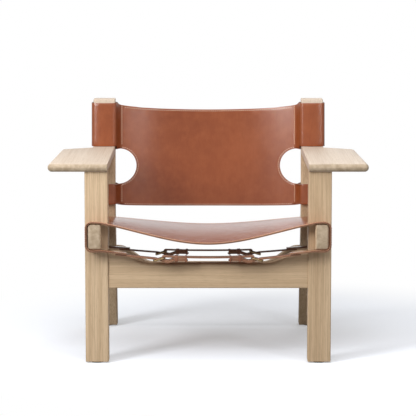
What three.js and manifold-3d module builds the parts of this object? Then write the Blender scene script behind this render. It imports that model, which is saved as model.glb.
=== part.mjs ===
// A lounge chair: an oak frame that carries a leather seat sling and a leather back sling. The flaps of
// each sling are drawn together below or behind by straps with a buckle at either end.
// Millimetres, +Z up, the front towards -Y, the origin on the floor under the middle.
import * as THREE from "three";
import { mergeVertices } from "three/addons/utils/BufferGeometryUtils.js";
import Module from "manifold-3d";

const wasm = await Module();
wasm.setup();

// Clearances and overruns
const woodGap = 0.3;
const leatherGap = 0.5;
const metalGap = 0.3;
const overrun = 12;

// The chair as a whole
const chairDepth = 600;
const clearWidth = 516;
const postWidth = 60;
const woodEdge = 3;
// The most that a rounded corner may take of a section's smaller side
const cornerLimitShare = 0.49;

// Front legs
const legDepth = 42;
const legSetback = 35;
const armUnderside = 500;
const armTenonLength = 14;
const armTenonInset = 10;

// Glides
const glideHeight = 3;
const glideRadius = 16;
const glidePinRadius = 2;
const glidePinLength = 12;

// Rear posts: the foot and the top both stand behind the knee
const footDepth = 48;
const kneeDepth = 46;
const postTopDepth = 44;
const kneeHeight = 375;
const kneeSetback = 445;
const kneeBlend = 30;
const kneeBlendShares = [-1, -1 / 3, 1 / 3, 1];
const postTopSetback = 483;
const postStub = 11;

// Side rails
const railHeight = 67;
const railInset = 17;
const railOuterInset = 8;
const railFrontHeight = 369;
const railFallShare = 0.101;
const railRound = 9;
const railEndRound = 4.5;
const railEndShares = [0, 1 / 3, 2 / 3, 1];
const railTenonLength = 28;
const railTenonSideInset = 8;
const railTenonTopInset = 11;

// Armrests
const armThickness = 22;
const armWidth = 154.5;
const armOverhang = 12;
const armRoundShares = [0.12, 0.35, 0.65, 1];
const armInnerRoundShare = 0.25;
const armRearInset = 76;
const armTailSkewShare = 0.3875;
const armTailBlend = 20;
const armRearTenonLength = 24;
const armRearTenonInset = 12;
const armRearTenonThickness = 11;

// Front and rear rails
const crossRailSetback = 5;
const crossRailTenonLength = 20;
const crossRailTenonInset = 8;
const scoopRound = 8;
const scoopShares = [0, 0.15, 0.3, 0.45, 0.6, 0.75, 0.9, 1];
const frontRailHeight = 98;
const frontRailScoop = 33;
const frontScoopStart = 16;
const frontScoopLength = 90;
const rearRailHeight = 106;
const rearRailDrop = 19;
const rearRailScoop = 48;
const rearScoopStart = 8;
const rearScoopLength = 95;

// Leather of both slings
const leather = 4.5;

// Seat sling
const seatRearGap = 4.5;
const seatFrontSag = 54;
const seatRearSag = 20;
const seatNotchGap = 2;
const seatFlapReach = 65;
const seatTabWidth = 36;
const seatPanelShares = [0, 0.14, 0.28, 0.42, 0.56, 0.7, 0.85, 1];
const seatFlapShares = [0, 0.35, 0.7, 1];
// How much of the seat's curve is a parabola; the rest levels out towards the rails
const seatParabolaShare = 0.5;

// Back sling: two sleeves on each post, with a D-shaped opening between them
const sleeveLift = 0.5;
const upperSleeveHeight = 118.5;
const lowerSleeveDrop = 81;
const lowerSleeveHeight = 56;
const seamInset = 13;
const seamDepth = 25;
const seamTopDrop = 9;
const seamBottomDrop = 6;
const backTopDrop = 15;
const backBottomDrop = 9.5;
const backSag = 55;
const backFlapInset = 48;
const backPanelShares = [0, 0.15, 0.3, 0.45, 0.6, 0.75, 0.88, 1];
const backFlapShares = [0, 0.5, 1];
const layerGap = 2;
const openingMargin = 3.25;
const openingDrop = 2;
const openingInset = 9.5;

// Straps, billets and keepers
const strapWidth = 28;
const strapThickness = 3.8;
const strapReach = 113.5;
const strapShares = [0, 0.25, 0.5, 0.75];
const foldRun = 28;
const foldTail = 8;
// The fold's way back to the strap: shares of its run and of its drop
const foldShares = [
  [0, 0],
  [0.18, 0.1],
  [0.5, 0.5],
  [0.82, 0.9],
  [1, 1],
];
const billetOverlap = 28;
const billetTail = 17.5;
const billetPoint = 9;
const billetTipShare = 1 / 6;
// Where along the buckle the billet comes through it, and where its slot starts and ends
const billetCrossingShare = 0.26;
const billetHoleShares = [-0.105, 0.665];
const keeperWidth = 8;
const keeperThickness = 1.6;
const rivetRadius = 2;
const rivetHeadRadius = 4.5;
const rivetHeadThickness = 0.9;
const rivetShares = [0.3, 0.7];

// Buckles and tongues
const barRadius = 2;
const buckleLength = 27;
const buckleRise = 8;
const buckleSideGap = 0.6;
const heelCorner = 2;
const farCorner = 6;
const tongueWidth = 4.5;
const tongueSideGap = 0.75;
const tongueEyeWall = 1.7;
const tongueThickness = 2.4;
const tongueTipShare = 0.9;
const tongueMiddleShare = 0.95;

// Where the seat straps lie, and how far each one hangs below the flaps' roots
const seatFrontStrapInset = 19;
const seatMiddleStrapShare = 0.53;
const seatFrontStrapSag = 17;
const seatMiddleStrapSag = 10;
// Where the back straps lie: below the top edge, in the upper sleeve's height, above the lower edge
const backTopStrapInset = 45;
const backMiddleStrapShare = 0.26;
const backLowerStrapInset = 28;

// Values that follow from the sizes above
const front = -chairDepth / 2;
const legInner = clearWidth / 2;
const legOuter = legInner + postWidth;
const legMiddle = legInner + postWidth / 2;
const legFront = front + legSetback;
const legBack = legFront + legDepth;
const railInner = legInner + railInset;
const railOuter = legOuter - railOuterInset;
const armTop = armUnderside + armThickness;
const armOuter = legInner + armWidth;
const armMiddle = armUnderside + armThickness / 2;
const sleeveBottom = armTop + sleeveLift;
const backTop = sleeveBottom + upperSleeveHeight;
const postHeight = backTop + postStub;
const lowerSleeveTop = armUnderside - lowerSleeveDrop;
const backBottom = lowerSleeveTop - lowerSleeveHeight;
const openingRadius = (sleeveBottom - lowerSleeveTop) / 2 - openingMargin;
const openingHeight = lowerSleeveTop - openingDrop + openingRadius;
const footHeight = glideHeight + woodGap;
const footFront = chairDepth / 2 - footDepth;
const kneeFront = front + kneeSetback;
const postTopFront = front + postTopSetback;
const seatBack = postFront(railTop(kneeFront)) - seatRearGap;
const crossRailThickness = legDepth - 2 * crossRailSetback;
const frontRailTop = railBottom(legBack);
const rearRailTop = railBottom(kneeFront) - rearRailDrop;
const lie = leatherGap + leather / 2;
const seamX = legInner - seamInset;
const mainLevel = -(barRadius + metalGap + strapThickness / 2);
const flapLevel = mainLevel + metalGap;
const nextLayer = strapThickness + metalGap;
const returnLevel = mainLevel + nextLayer;
const billetLevel = returnLevel + nextLayer;
const buckleRun = Math.sqrt(buckleLength ** 2 - buckleRise ** 2);
const keeperStart = strapReach - foldRun - keeperWidth;
const foldEnd = keeperStart - foldTail;
const billetTip = foldEnd - billetTail;

const materials = {
  oak: { color: 0xcdb08c, roughness: 0.55, metalness: 0 },
  leather: { color: 0x96553a, roughness: 0.45, metalness: 0 },
  brass: { color: 0xb08d57, roughness: 0.35, metalness: 1 },
  glide: { color: 0x2b2a28, roughness: 0.7, metalness: 0 },
};

const sides = [
  ["right", 1],
  ["left", -1],
];

const axisX = new THREE.Vector3(1, 0, 0);
const axisY = new THREE.Vector3(0, 1, 0);
const axisZ = new THREE.Vector3(0, 0, 1);
// Turns an outline drawn in Y and Z, with its depth along X
const acrossX = new THREE.Matrix4().makeBasis(axisY, axisZ, axisX);
// Turns an outline drawn in X and Z, with its depth along -Y
const acrossY = new THREE.Matrix4().makeBasis(axisX, axisZ, axisY.clone().negate());

// Solids

function volumeOf(geometry) {
  const p = geometry.attributes.position;
  const index = geometry.index.array;
  const [a, b, c] = [new THREE.Vector3(), new THREE.Vector3(), new THREE.Vector3()];
  let volume = 0;
  for (let i = 0; i < index.length; i += 3) {
    a.fromBufferAttribute(p, index[i]);
    b.fromBufferAttribute(p, index[i + 1]);
    c.fromBufferAttribute(p, index[i + 2]);
    volume += a.dot(b.cross(c)) / 6;
  }
  return volume;
}

// A closed geometry as a solid whose faces point out, first placed by a matrix
function solid(geometry, place = new THREE.Matrix4()) {
  const plain = geometry.clone().applyMatrix4(place);
  plain.deleteAttribute("normal");
  plain.deleteAttribute("uv");
  const merged = mergeVertices(plain);
  const triVerts = new Uint32Array(merged.index.array);
  if (volumeOf(merged) < 0) triVerts.reverse();
  const vertProperties = merged.attributes.position.array;
  return new wasm.Manifold(new wasm.Mesh({ numProp: 3, vertProperties, triVerts }));
}

// A geometry of shared points and triangles
function surface(positions, index) {
  const geometry = new THREE.BufferGeometry();
  geometry.setAttribute("position", new THREE.Float32BufferAttribute(positions, 3));
  geometry.setIndex(index);
  return geometry;
}

// A named mesh of one solid; a side of -1 mirrors it to the left
function piece(name, body, material, side = 1) {
  const { vertProperties, triVerts } = body.getMesh();
  const index = Array.from(triVerts);
  if (side < 0) index.reverse();
  const geometry = surface(Array.from(vertProperties), index).scale(side, 1, 1);
  geometry.computeVertexNormals();
  const mesh = new THREE.Mesh(geometry, new THREE.MeshStandardMaterial(materials[material]));
  mesh.name = name;
  return mesh;
}

// A body through rings of points, each convex and of the same count, capped at both ends
function loft(rings) {
  const count = rings[0].length;
  const index = [];
  for (let r = 0; r + 1 < rings.length; r++) {
    for (let i = 0; i < count; i++) {
      const a = r * count + i;
      const b = r * count + ((i + 1) % count);
      index.push(a, b, b + count, a, b + count, a + count);
    }
  }
  const last = (rings.length - 1) * count;
  for (let i = 1; i + 1 < count; i++) {
    index.push(0, i + 1, i, last, last + i, last + i + 1);
  }
  return solid(surface(rings.flat(2), index));
}

// A sheet of even thickness through a grid of points; cells that keep refuses are left open
function sheet(grid, thickness, keep = () => true) {
  const columns = grid.length;
  const rows = grid[0].length;
  const positions = [];
  const along = new THREE.Vector3();
  const across = new THREE.Vector3();
  for (let i = 0; i < columns; i++) {
    for (let j = 0; j < rows; j++) {
      along.subVectors(grid[Math.min(i + 1, columns - 1)][j], grid[Math.max(i - 1, 0)][j]);
      across.subVectors(grid[i][Math.min(j + 1, rows - 1)], grid[i][Math.max(j - 1, 0)]);
      const out = along.clone().cross(across).setLength(thickness / 2);
      positions.push(...grid[i][j].clone().add(out), ...grid[i][j].clone().sub(out));
    }
  }
  const kept = (i, j) => i >= 0 && j >= 0 && i + 1 < columns && j + 1 < rows && keep(i, j);
  const at = (i, j, side) => 2 * (i * rows + j) + side;
  const index = [];
  const wall = (p, q) => index.push(p, p + 1, q + 1, p, q + 1, q);
  for (let i = 0; i + 1 < columns; i++) {
    for (let j = 0; j + 1 < rows; j++) {
      if (!kept(i, j)) continue;
      const [a, b, c, d] = [at(i, j, 0), at(i + 1, j, 0), at(i + 1, j + 1, 0), at(i, j + 1, 0)];
      index.push(a, b, c, a, c, d, a + 1, c + 1, b + 1, a + 1, d + 1, c + 1);
      if (!kept(i, j - 1)) wall(a, b);
      if (!kept(i + 1, j)) wall(b, c);
      if (!kept(i, j + 1)) wall(c, d);
      if (!kept(i - 1, j)) wall(d, a);
    }
  }
  return solid(surface(positions, index));
}

// A closed tube of six sides through a loop of points that lie in one plane
function loopTube(points, radius, planeNormal) {
  const sides = 6;
  const rings = points.map((point, k) => {
    const before = points[(k + points.length - 1) % points.length];
    const after = points[(k + 1) % points.length];
    const to = after.clone().sub(point).normalize();
    const from = point.clone().sub(before).normalize();
    const bend = Math.sqrt((1 + to.dot(from)) / 2);
    const side = to.add(from).cross(planeNormal).normalize();
    return Array.from({ length: sides }, (_, i) => {
      const angle = ((i + 0.5) / sides) * 2 * Math.PI;
      return point
        .clone()
        .addScaledVector(side, (Math.cos(angle) * radius) / bend)
        .addScaledVector(planeNormal, Math.sin(angle) * radius);
    });
  });
  const index = [];
  rings.forEach((_, k) => {
    const next = (k + 1) % rings.length;
    for (let i = 0; i < sides; i++) {
      const j = (i + 1) % sides;
      const [a, b, c, d] = [k * sides + i, k * sides + j, next * sides + j, next * sides + i];
      index.push(a, b, c, a, c, d);
    }
  });
  return solid(surface(rings.flat().flatMap((p) => [...p]), index));
}

// An outline with a depth, centred on its plane and turned by a matrix
function plate(shape, depth, turn) {
  const geometry = new THREE.ExtrudeGeometry(shape, { depth, bevelEnabled: false, curveSegments: 4 });
  return solid(geometry.translate(0, 0, -depth / 2), turn);
}

function box(low, high) {
  const size = high.clone().sub(low);
  const middle = high.clone().add(low).multiplyScalar(0.5);
  return solid(new THREE.BoxGeometry(...size).translate(...middle));
}

// A convex outline of a rectangle with rounded corners, as [across, up] pairs, counterclockwise
function roundedRectangle(left, right, bottom, top, radii, steps) {
  const limit = cornerLimitShare * Math.min(right - left, top - bottom);
  const corners = [
    [left, bottom, 1, 1],
    [right, bottom, -1, 1],
    [right, top, -1, -1],
    [left, top, 1, -1],
  ];
  return corners.flatMap(([x, y, inX, inY], corner) => {
    const radius = Math.min(radii[corner], limit);
    return Array.from({ length: steps + 1 }, (_, i) => {
      const angle = Math.PI + (corner + i / steps) * (Math.PI / 2);
      return [x + radius * (inX + Math.cos(angle)), y + radius * (inY + Math.sin(angle))];
    });
  });
}

// A line through its places at the foot, the knee and the top, with the bend at the knee rounded off
function bentLine(z, low, knee, high) {
  const lowSlope = (knee - low) / (kneeHeight - footHeight);
  const highSlope = (high - knee) / (postHeight - kneeHeight);
  const above = z - kneeHeight;
  if (above <= -kneeBlend) return knee + lowSlope * above;
  if (above >= kneeBlend) return knee + highSlope * above;
  return knee + lowSlope * above + ((highSlope - lowSlope) * (above + kneeBlend) ** 2) / (4 * kneeBlend);
}

function postFront(z) {
  return bentLine(z, footFront, kneeFront, postTopFront);
}

// The front of the post's upper part, carried straight down past the knee, which the back sling follows
function upperFront(z) {
  return kneeFront + ((postTopFront - kneeFront) * (z - kneeHeight)) / (postHeight - kneeHeight);
}

function postBack(z) {
  return bentLine(z, footFront + footDepth, kneeFront + kneeDepth, postTopFront + postTopDepth);
}

function railTop(y) {
  return railFrontHeight - railFallShare * (y - front);
}

function railBottom(y) {
  return railTop(y) - railHeight;
}

function smooth(share) {
  const s = Math.min(Math.max(share, 0), 1);
  return s * s * (3 - 2 * s);
}

// Oak pieces, made for the right-hand side; side is 1 there and -1 on the left

// A stretch of side rail: each station is [y, inset at the sides, inset above and below]
function railBody(stations) {
  return loft(
    stations.map(([y, sides, ends]) => {
      const soft = Math.max(railRound - Math.max(sides, ends), woodGap);
      const tight = Math.max(woodEdge - Math.max(sides, ends), woodGap);
      return roundedRectangle(
        railInner + sides,
        railOuter - sides,
        railBottom(y) + ends,
        railTop(y) - ends,
        [tight, soft, soft, tight],
        3,
      ).map(([x, z]) => [x, y, z]);
    }),
  );
}

// Where the middle of the side rail meets the post
function railShoulder() {
  return postFront(railTop(kneeFront) - railHeight / 2);
}

function railTenon(grow) {
  const insets = [railTenonSideInset - grow, railTenonTopInset - grow];
  return railBody([
    [railShoulder() - kneeDepth / 2, ...insets],
    [railShoulder() + railTenonLength + grow, ...insets],
  ]);
}

// The post's outline from the side, grown all round
function postBody(grow) {
  const blend = kneeBlendShares.map((share) => kneeHeight + share * kneeBlend);
  const heights = [footHeight - grow, ...blend, postHeight + grow];
  const points = heights.map((z) => new THREE.Vector2(postFront(z) - grow, z));
  points.push(...heights.reverse().map((z) => new THREE.Vector2(postBack(z) + grow, z)));
  const geometry = new THREE.ExtrudeGeometry(new THREE.Shape(points), {
    depth: postWidth - 2 * woodEdge + 2 * grow,
    bevelThickness: woodEdge,
    bevelSize: woodEdge,
    bevelOffset: -woodEdge,
    bevelSegments: 2,
  });
  return solid(geometry.applyMatrix4(acrossX).translate(legInner + woodEdge - grow, 0, 0));
}

function armRearTenon(grow) {
  const inset = armRearTenonInset - grow;
  const high = armRearTenonThickness / 2 + grow;
  const end = postFront(armMiddle) + armRearTenonLength + grow;
  return box(
    new THREE.Vector3(legInner + inset, postFront(armMiddle) - overrun, armMiddle - high),
    new THREE.Vector3(legOuter - inset, end, armMiddle + high),
  );
}

function legTenon(grow) {
  const inset = armTenonInset - grow;
  return box(
    new THREE.Vector3(legInner + inset, legFront + inset, armUnderside - overrun),
    new THREE.Vector3(legOuter - inset, legBack - inset, armUnderside + armTenonLength + grow),
  );
}

// A rail between the two sides, its top edge scooped between two flat ends
function crossRail(spec, halfLength, inset) {
  const flat = legInner - spec.scoopStart;
  const rightHalf = scoopShares.map((share) => flat - share * spec.scoopLength).reverse();
  const stations = [...rightHalf, halfLength];
  const all = [...stations.map((x) => -x).reverse(), ...stations];
  return loft(
    all.map((x) => {
      const share = smooth((flat - Math.abs(x)) / spec.scoopLength);
      const top = spec.top - share * spec.scoop - inset;
      const bottom = spec.bottom + inset;
      const round = woodEdge + share * (scoopRound - woodEdge);
      const small = Math.max(woodEdge - inset, woodGap);
      const radii = [small, small, small, Math.max(round - inset, woodGap)];
      const ring = roundedRectangle(inset, crossRailThickness - inset, bottom, top, radii, 2);
      return ring.map(([y, z]) => [x, spec.y(z) + y, z]);
    }),
  );
}

const frontRailSpec = {
  top: frontRailTop,
  bottom: frontRailTop - frontRailHeight,
  scoop: frontRailScoop,
  scoopStart: frontScoopStart,
  scoopLength: frontScoopLength,
  y: () => legFront + crossRailSetback,
};

const rearRailSpec = {
  top: rearRailTop,
  bottom: rearRailTop - rearRailHeight,
  scoop: rearRailScoop,
  scoopStart: rearScoopStart,
  scoopLength: rearScoopLength,
  y: (z) => (postFront(z) + postBack(z) - crossRailThickness) / 2,
};

function crossRailTenons(spec, grow) {
  return crossRail(spec, legInner + crossRailTenonLength + grow, crossRailTenonInset - grow);
}

function cylinder(radius, from, to, sides) {
  const geometry = new THREE.CylinderGeometry(radius, radius, to - from, sides);
  return geometry.rotateX(Math.PI / 2).translate(0, 0, (from + to) / 2);
}

// The places of the two feet's middles on the floor
const legFoot = new THREE.Matrix4().makeTranslation(legMiddle, (legFront + legBack) / 2, 0);
const postFoot = new THREE.Matrix4().makeTranslation(legMiddle, footFront + footDepth / 2, 0);

// The pin hole of a glide under a foot
function glideHole(foot) {
  return solid(cylinder(glidePinRadius + woodGap, -overrun, glidePinLength + woodGap, 8), foot);
}

function glide(foot) {
  const pin = solid(cylinder(glidePinRadius, glideHeight / 2, glidePinLength, 8), foot);
  return solid(cylinder(glideRadius, 0, glideHeight, 20), foot).add(pin);
}

function frontLeg() {
  const radii = [woodEdge, woodEdge, woodEdge, woodEdge];
  const outline = roundedRectangle(legInner, legOuter, legFront, legBack, radii, 2);
  const ring = (z) => outline.map(([x, y]) => [x, y, z]);
  const mortise = railBody([
    [legFront - overrun, -woodGap, -woodGap],
    [legBack + overrun, -woodGap, -woodGap],
  ]);
  return loft([ring(footHeight), ring(armUnderside - woodGap)])
    .add(legTenon(0))
    .subtract(mortise)
    .subtract(crossRailTenons(frontRailSpec, woodGap))
    .subtract(glideHole(legFoot));
}

function rearPost() {
  return postBody(0)
    .subtract(railTenon(woodGap))
    .subtract(armRearTenon(woodGap))
    .subtract(crossRailTenons(rearRailSpec, woodGap))
    .subtract(glideHole(postFoot));
}

function sideRail() {
  const rounding = railEndShares.map((share) => {
    const angle = (share * Math.PI) / 2;
    const inset = railEndRound * (1 - Math.sin(angle));
    return [front + railEndRound * (1 - Math.cos(angle)), inset, inset];
  });
  return railBody([...rounding, [railShoulder() + kneeDepth / 2, 0, 0]])
    .subtract(postBody(woodGap))
    .add(railTenon(0));
}

function armrest() {
  const armFront = legFront - armOverhang;
  const half = armThickness / 2;
  const section = (y, low) => {
    const round = half - low;
    const tight = Math.min(woodEdge, round);
    const radii = [tight, round, round, tight];
    const [left, right] = [legInner + armInnerRoundShare * low, armOuter - low];
    const ring = roundedRectangle(left, right, armUnderside + low, armTop - low, radii, 4);
    return ring.map(([x, z]) => [x, y, z]);
  };
  const rounding = armRoundShares.map((share) => {
    const angle = (share * Math.PI) / 2;
    return section(armFront + half * (1 - Math.cos(angle)), half * (1 - Math.sin(angle)));
  });
  const rear = (x) => postFront(armMiddle) - armRearInset - armTailSkewShare * (x - armOuter);
  const tail = new THREE.Shape();
  const postY = postFront(armTop) + overrun;
  tail.moveTo(armOuter + overrun, rear(armOuter + overrun));
  tail.lineTo(armOuter + overrun, postY);
  tail.lineTo(legOuter, postY);
  tail.lineTo(legOuter, rear(legOuter) + armTailBlend);
  tail.quadraticCurveTo(legOuter, rear(legOuter), legOuter + armTailBlend, rear(legOuter + armTailBlend));
  const toArm = new THREE.Matrix4().makeTranslation(0, 0, armMiddle);
  return loft([...rounding, section(postY, 0)])
    .subtract(plate(tail, armThickness + overrun, toArm))
    .subtract(postBody(woodGap))
    .subtract(legTenon(woodGap))
    .add(armRearTenon(0));
}

function frontRail() {
  return crossRail(frontRailSpec, legInner - woodGap, 0).add(crossRailTenons(frontRailSpec, 0));
}

function rearRail() {
  return crossRail(rearRailSpec, legInner - woodGap, 0).add(crossRailTenons(rearRailSpec, 0));
}

// Leather

// A point beside a hanging curve: t runs out from the middle, and out is measured away from the sitter
function sagPoint(halfSpan, sag, t, out) {
  const slope = (2 * sag * t) / halfSpan ** 2;
  const norm = Math.hypot(1, slope);
  return [t + (out * slope) / norm, sag * (t / halfSpan) ** 2 - out / norm];
}

function arc(centreX, centreY, radius, from, to, steps) {
  return Array.from({ length: steps + 1 }, (_, i) => {
    const angle = THREE.MathUtils.degToRad(from + ((to - from) * i) / steps);
    return [centreX + radius * Math.cos(angle), centreY + radius * Math.sin(angle)];
  });
}

// Both halves of a path that runs out from the middle to the right
function mirrored(half) {
  return [...half.slice(1).reverse().map(([x, ...rest]) => [-x, ...rest]), ...half];
}

function seatSag(y) {
  const share = (y - front) / (seatBack - front);
  return seatFrontSag + (seatRearSag - seatFrontSag) * share;
}

const tabBack = legFront - seatNotchGap;
const notchBack = legBack + seatNotchGap;
const notchX = legInner - seatNotchGap;
const seatMiddleStrap = front + seatMiddleStrapShare * (seatBack - front);

function strapSag(y) {
  return y < (tabBack + notchBack) / 2 ? seatFrontStrapSag : seatMiddleStrapSag;
}

// The sling's middle surface at one distance from the front: x and z
function seatPath(y) {
  const edge = railInner + woodEdge;
  const top = railTop(y) + lie;
  const level = (x) => {
    const share = x / edge;
    const rise = seatParabolaShare * share ** 2 + (1 - seatParabolaShare) * smooth(share);
    return [x, top - seatSag(y) * (1 - rise)];
  };
  const panel = seatPanelShares.map((share) => level(share * notchX));
  const shoulder = [level((notchX + edge) / 2), level(edge)];
  const over = arc(railOuter - railRound, railTop(y) - railRound, railRound + lie, 90, 0, 4);
  const under = arc(railOuter - railRound, railBottom(y) + railRound, railRound + lie, 0, -90, 4);
  const flap = seatFlapShares.map((share) => {
    const [x, z] = sagPoint(railInner, strapSag(y), railInner - share * seatFlapReach, 0);
    return [x, z + railBottom(y) - lie - strapSag(y)];
  });
  return mirrored([...panel, ...shoulder, ...over, ...under, ...flap]);
}

// A flap reaches in under the seat only in front of the legs and where the middle strap is
function seatSling() {
  const tab = seatTabWidth / 2;
  const rows = [front, tabBack, notchBack, seatMiddleStrap - tab, seatMiddleStrap + tab, seatBack];
  const paths = rows.map(seatPath);
  const grid = paths[0].map((_, i) =>
    paths.map((path, j) => new THREE.Vector3(path[i][0], rows[j], path[i][1])),
  );
  const centre = (grid.length - 1) / 2;
  const reaches = rows.slice(1).map(() => centre);
  reaches[1] = seatPanelShares.length - 1;
  reaches[2] = reaches[4] = centre - seatFlapShares.length + 1;
  const keep = (i, j) => i >= centre - reaches[j] && i < centre + reaches[j];
  return sheet(grid, leather, keep);
}

// The back sling's middle surface: x, a setback, whether it is measured from the post's front or back,
// and how far below the sleeve's top and bottom edges its own edges lie
function backPath() {
  const round = woodEdge + lie;
  const nearX = legInner + woodEdge;
  const farX = legOuter - woodEdge;
  const drops = (x) => {
    const share = 1 - Math.min(Math.abs(x) / seamX, 1) ** 2;
    return [seamTopDrop + backTopDrop * share, seamBottomDrop + backBottomDrop * share];
  };
  const inboard = (t, out) => {
    const [x, rise] = sagPoint(seamX, backSag, t, out);
    return [x, seamDepth + backSag - rise, upperFront, ...drops(x)];
  };
  const sleeve = (points, face) => points.map(([x, y]) => [x, y, face, 0, 0]);
  const panel = backPanelShares.map((share) => inboard(share * seamX, 0));
  const frontSide = [
    ...arc(nearX, woodEdge, round, 180, 270, 3),
    ...arc(farX, woodEdge, round, 270, 360, 3),
  ];
  const backSide = [
    ...arc(farX, -woodEdge, round, 0, 90, 3),
    ...arc(nearX, -woodEdge, round, 90, 180, 3),
  ];
  const layer = leather + layerGap;
  const flap = backFlapShares.map((share) => inboard(seamX - share * backFlapInset, layer));
  const half = [...panel, ...sleeve(frontSide, upperFront), ...sleeve(backSide, postBack), ...flap];
  return { path: mirrored(half), panel: panel.length - 1 };
}

function backSling() {
  const { path, panel } = backPath();
  const middle = (sleeveBottom + backTop) / 2;
  const knee = kneeBlendShares.map((share) => kneeHeight + share * kneeBlend);
  const bends = knee.filter((z) => z > Math.max(kneeHeight, backBottom) && z < lowerSleeveTop);
  const heights = [backBottom, ...bends, lowerSleeveTop, sleeveBottom, middle, backTop];
  const shares = heights.map((z) => (z - backBottom) / (backTop - backBottom));
  const grid = path.map(([x, y, face, topDrop, bottomDrop]) =>
    shares.map((share) => {
      const low = backBottom - bottomDrop;
      const z = low + share * (backTop - topDrop - low);
      return new THREE.Vector3(x, face(z) + y, z);
    }),
  );
  const centre = (grid.length - 1) / 2;
  const gapRow = heights.indexOf(lowerSleeveTop);
  const keep = (i, j) => j !== gapRow || (i >= centre - panel && i < centre + panel);
  const body = sheet(grid, leather, keep);
  return [1, -1].reduce((cut, side) => {
    const hole = new THREE.Shape();
    hole.absarc(side * (legInner - openingInset), openingHeight, openingRadius, 0, 2 * Math.PI);
    const settings = { depth: chairDepth, bevelEnabled: false, curveSegments: 14 };
    const geometry = new THREE.ExtrudeGeometry(hole, settings).applyMatrix4(acrossY);
    return cut.subtract(solid(geometry.translate(0, chairDepth, 0)));
  }, body);
}

// Straps. The right-hand end is drawn flat, t out from the middle of the strap and n away from the
// sitter, and is then laid along the strap's hanging curve. The left-hand end is the same, turned round.

const seatCurve = (sag) => ({ halfSpan: railInner, sag, lift: -flapLevel });
const backLean = Math.atan((postTopFront - kneeFront) / (postHeight - kneeHeight));
const backCurve = {
  halfSpan: seamX,
  sag: backSag * Math.cos(backLean),
  lift: leather + layerGap - flapLevel,
};

function endTurn(side) {
  return new THREE.Matrix4().makeRotationZ(side > 0 ? 0 : Math.PI);
}

function laid(geometry, curve) {
  const p = geometry.attributes.position;
  for (let i = 0; i < p.count; i++) {
    const [x, z] = sagPoint(curve.halfSpan, curve.sag, p.getX(i), curve.lift - p.getZ(i));
    p.setX(i, x);
    p.setZ(i, z);
  }
  return geometry;
}

// Outline points from [t, n] pairs, counterclockwise
function outlinePoints(pairs) {
  const points = pairs.map(([t, n]) => new THREE.Vector2(t, -n));
  return THREE.ShapeUtils.isClockWise(points) ? points.reverse() : points;
}

// A flat geometry from an outline of [t, n] pairs, with its width along y
function flatOutline(pairs, width, hole = null) {
  const shape = new THREE.Shape(outlinePoints(pairs));
  if (hole) shape.holes.push(new THREE.Path(outlinePoints(hole)));
  const geometry = new THREE.ExtrudeGeometry(shape, { depth: width, bevelEnabled: false });
  return geometry.translate(0, 0, -width / 2).applyMatrix4(acrossY);
}

// A strip of leather along a path of [t, n] pairs, laid along the curve
function strip(path, curve) {
  const grid = path.map(([t, n]) => {
    const [x, z] = sagPoint(curve.halfSpan, curve.sag, t, curve.lift + n);
    return [-1, 1].map((side) => new THREE.Vector3(x, (side * strapWidth) / 2, z));
  });
  return sheet(grid, strapThickness);
}

function circle(centreT, centreN, radius, sides) {
  return arc(centreT, centreN, radius, 0, 360, sides).slice(0, -1);
}

// The second layer of the folded end, from the heel bar in to the end of the fold
function foldPath(level) {
  const over = -mainLevel + level;
  const drop = over - (returnLevel + level);
  return foldShares.map(([run, fall]) => [strapReach - run * foldRun, over - fall * drop]);
}

// The corners of a rectangle, counterclockwise
function rectangle(left, right, bottom, top) {
  return [
    [left, bottom],
    [right, bottom],
    [right, top],
    [left, top],
  ].map(([x, y]) => new THREE.Vector2(x, y));
}

// The opening in a strap's end that its tongue passes through
function tongueSlot(curve) {
  const high = strapThickness - mainLevel;
  const outline = [
    [strapReach + 2 * mainLevel, -high],
    [strapReach + overrun, -high],
    [strapReach + overrun, high],
    [strapReach + 2 * mainLevel, high],
  ];
  return laid(flatOutline(outline, tongueWidth + 2 * tongueSideGap), curve);
}

// The loop that holds a billet's tip down on the strap
function keeper(curve) {
  const side = strapWidth / 2 + metalGap;
  const inner = mainLevel - strapThickness / 2 + metalGap;
  const outer = billetLevel + strapThickness / 2 + metalGap;
  const wall = keeperThickness;
  const ring = new THREE.Shape(rectangle(-side - wall, side + wall, -outer - wall, wall - inner));
  ring.holes.push(new THREE.Path(rectangle(-side, side, -outer, -inner)));
  const geometry = new THREE.ExtrudeGeometry(ring, { depth: keeperWidth, bevelEnabled: false });
  geometry.applyMatrix4(acrossX).translate(keeperStart, 0, 0);
  return laid(geometry, curve);
}

// The middle strap, folded round the heel bar at either end, with a keeper near each
function centreStrap(curve) {
  const wrap = arc(strapReach, 0, -mainLevel, -90, 90, 4);
  const back = foldPath(0).slice(1);
  const end = [foldEnd, returnLevel];
  const main = strapShares.map((share) => [share * strapReach, mainLevel]);
  const path = mirrored([...main, ...wrap, ...back, end]);
  return sides.reduce((body, [, side]) => {
    const turn = endTurn(side);
    return body.subtract(solid(tongueSlot(curve), turn)).add(solid(keeper(curve), turn));
  }, strip(path, curve));
}

function billetPath(curve) {
  const flapEnd = curve.flapEnd;
  const onFlap = flapLevel + (leather + strapThickness) / 2 + metalGap;
  const underFar = buckleRise - barRadius - metalGap * 4 - strapThickness / 2;
  const far = strapReach + buckleRun;
  const overHeel = foldPath(nextLayer + metalGap / 2);
  const tip = [billetTip, billetLevel];
  return [
    [flapEnd + billetOverlap, onFlap],
    [flapEnd, onFlap],
    [(flapEnd + far) / 2, (onFlap + underFar) / 2],
    [far + barRadius, underFar],
    [far - barRadius * 2, underFar + metalGap],
    [strapReach + buckleRun * billetCrossingShare, (overHeel[0][1] + underFar) / 2 + metalGap],
    [strapReach + barRadius, overHeel[0][1] - metalGap / 2],
    ...overHeel,
    [(strapReach - foldRun + tip[0]) / 2, billetLevel],
    tip,
  ];
}

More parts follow.
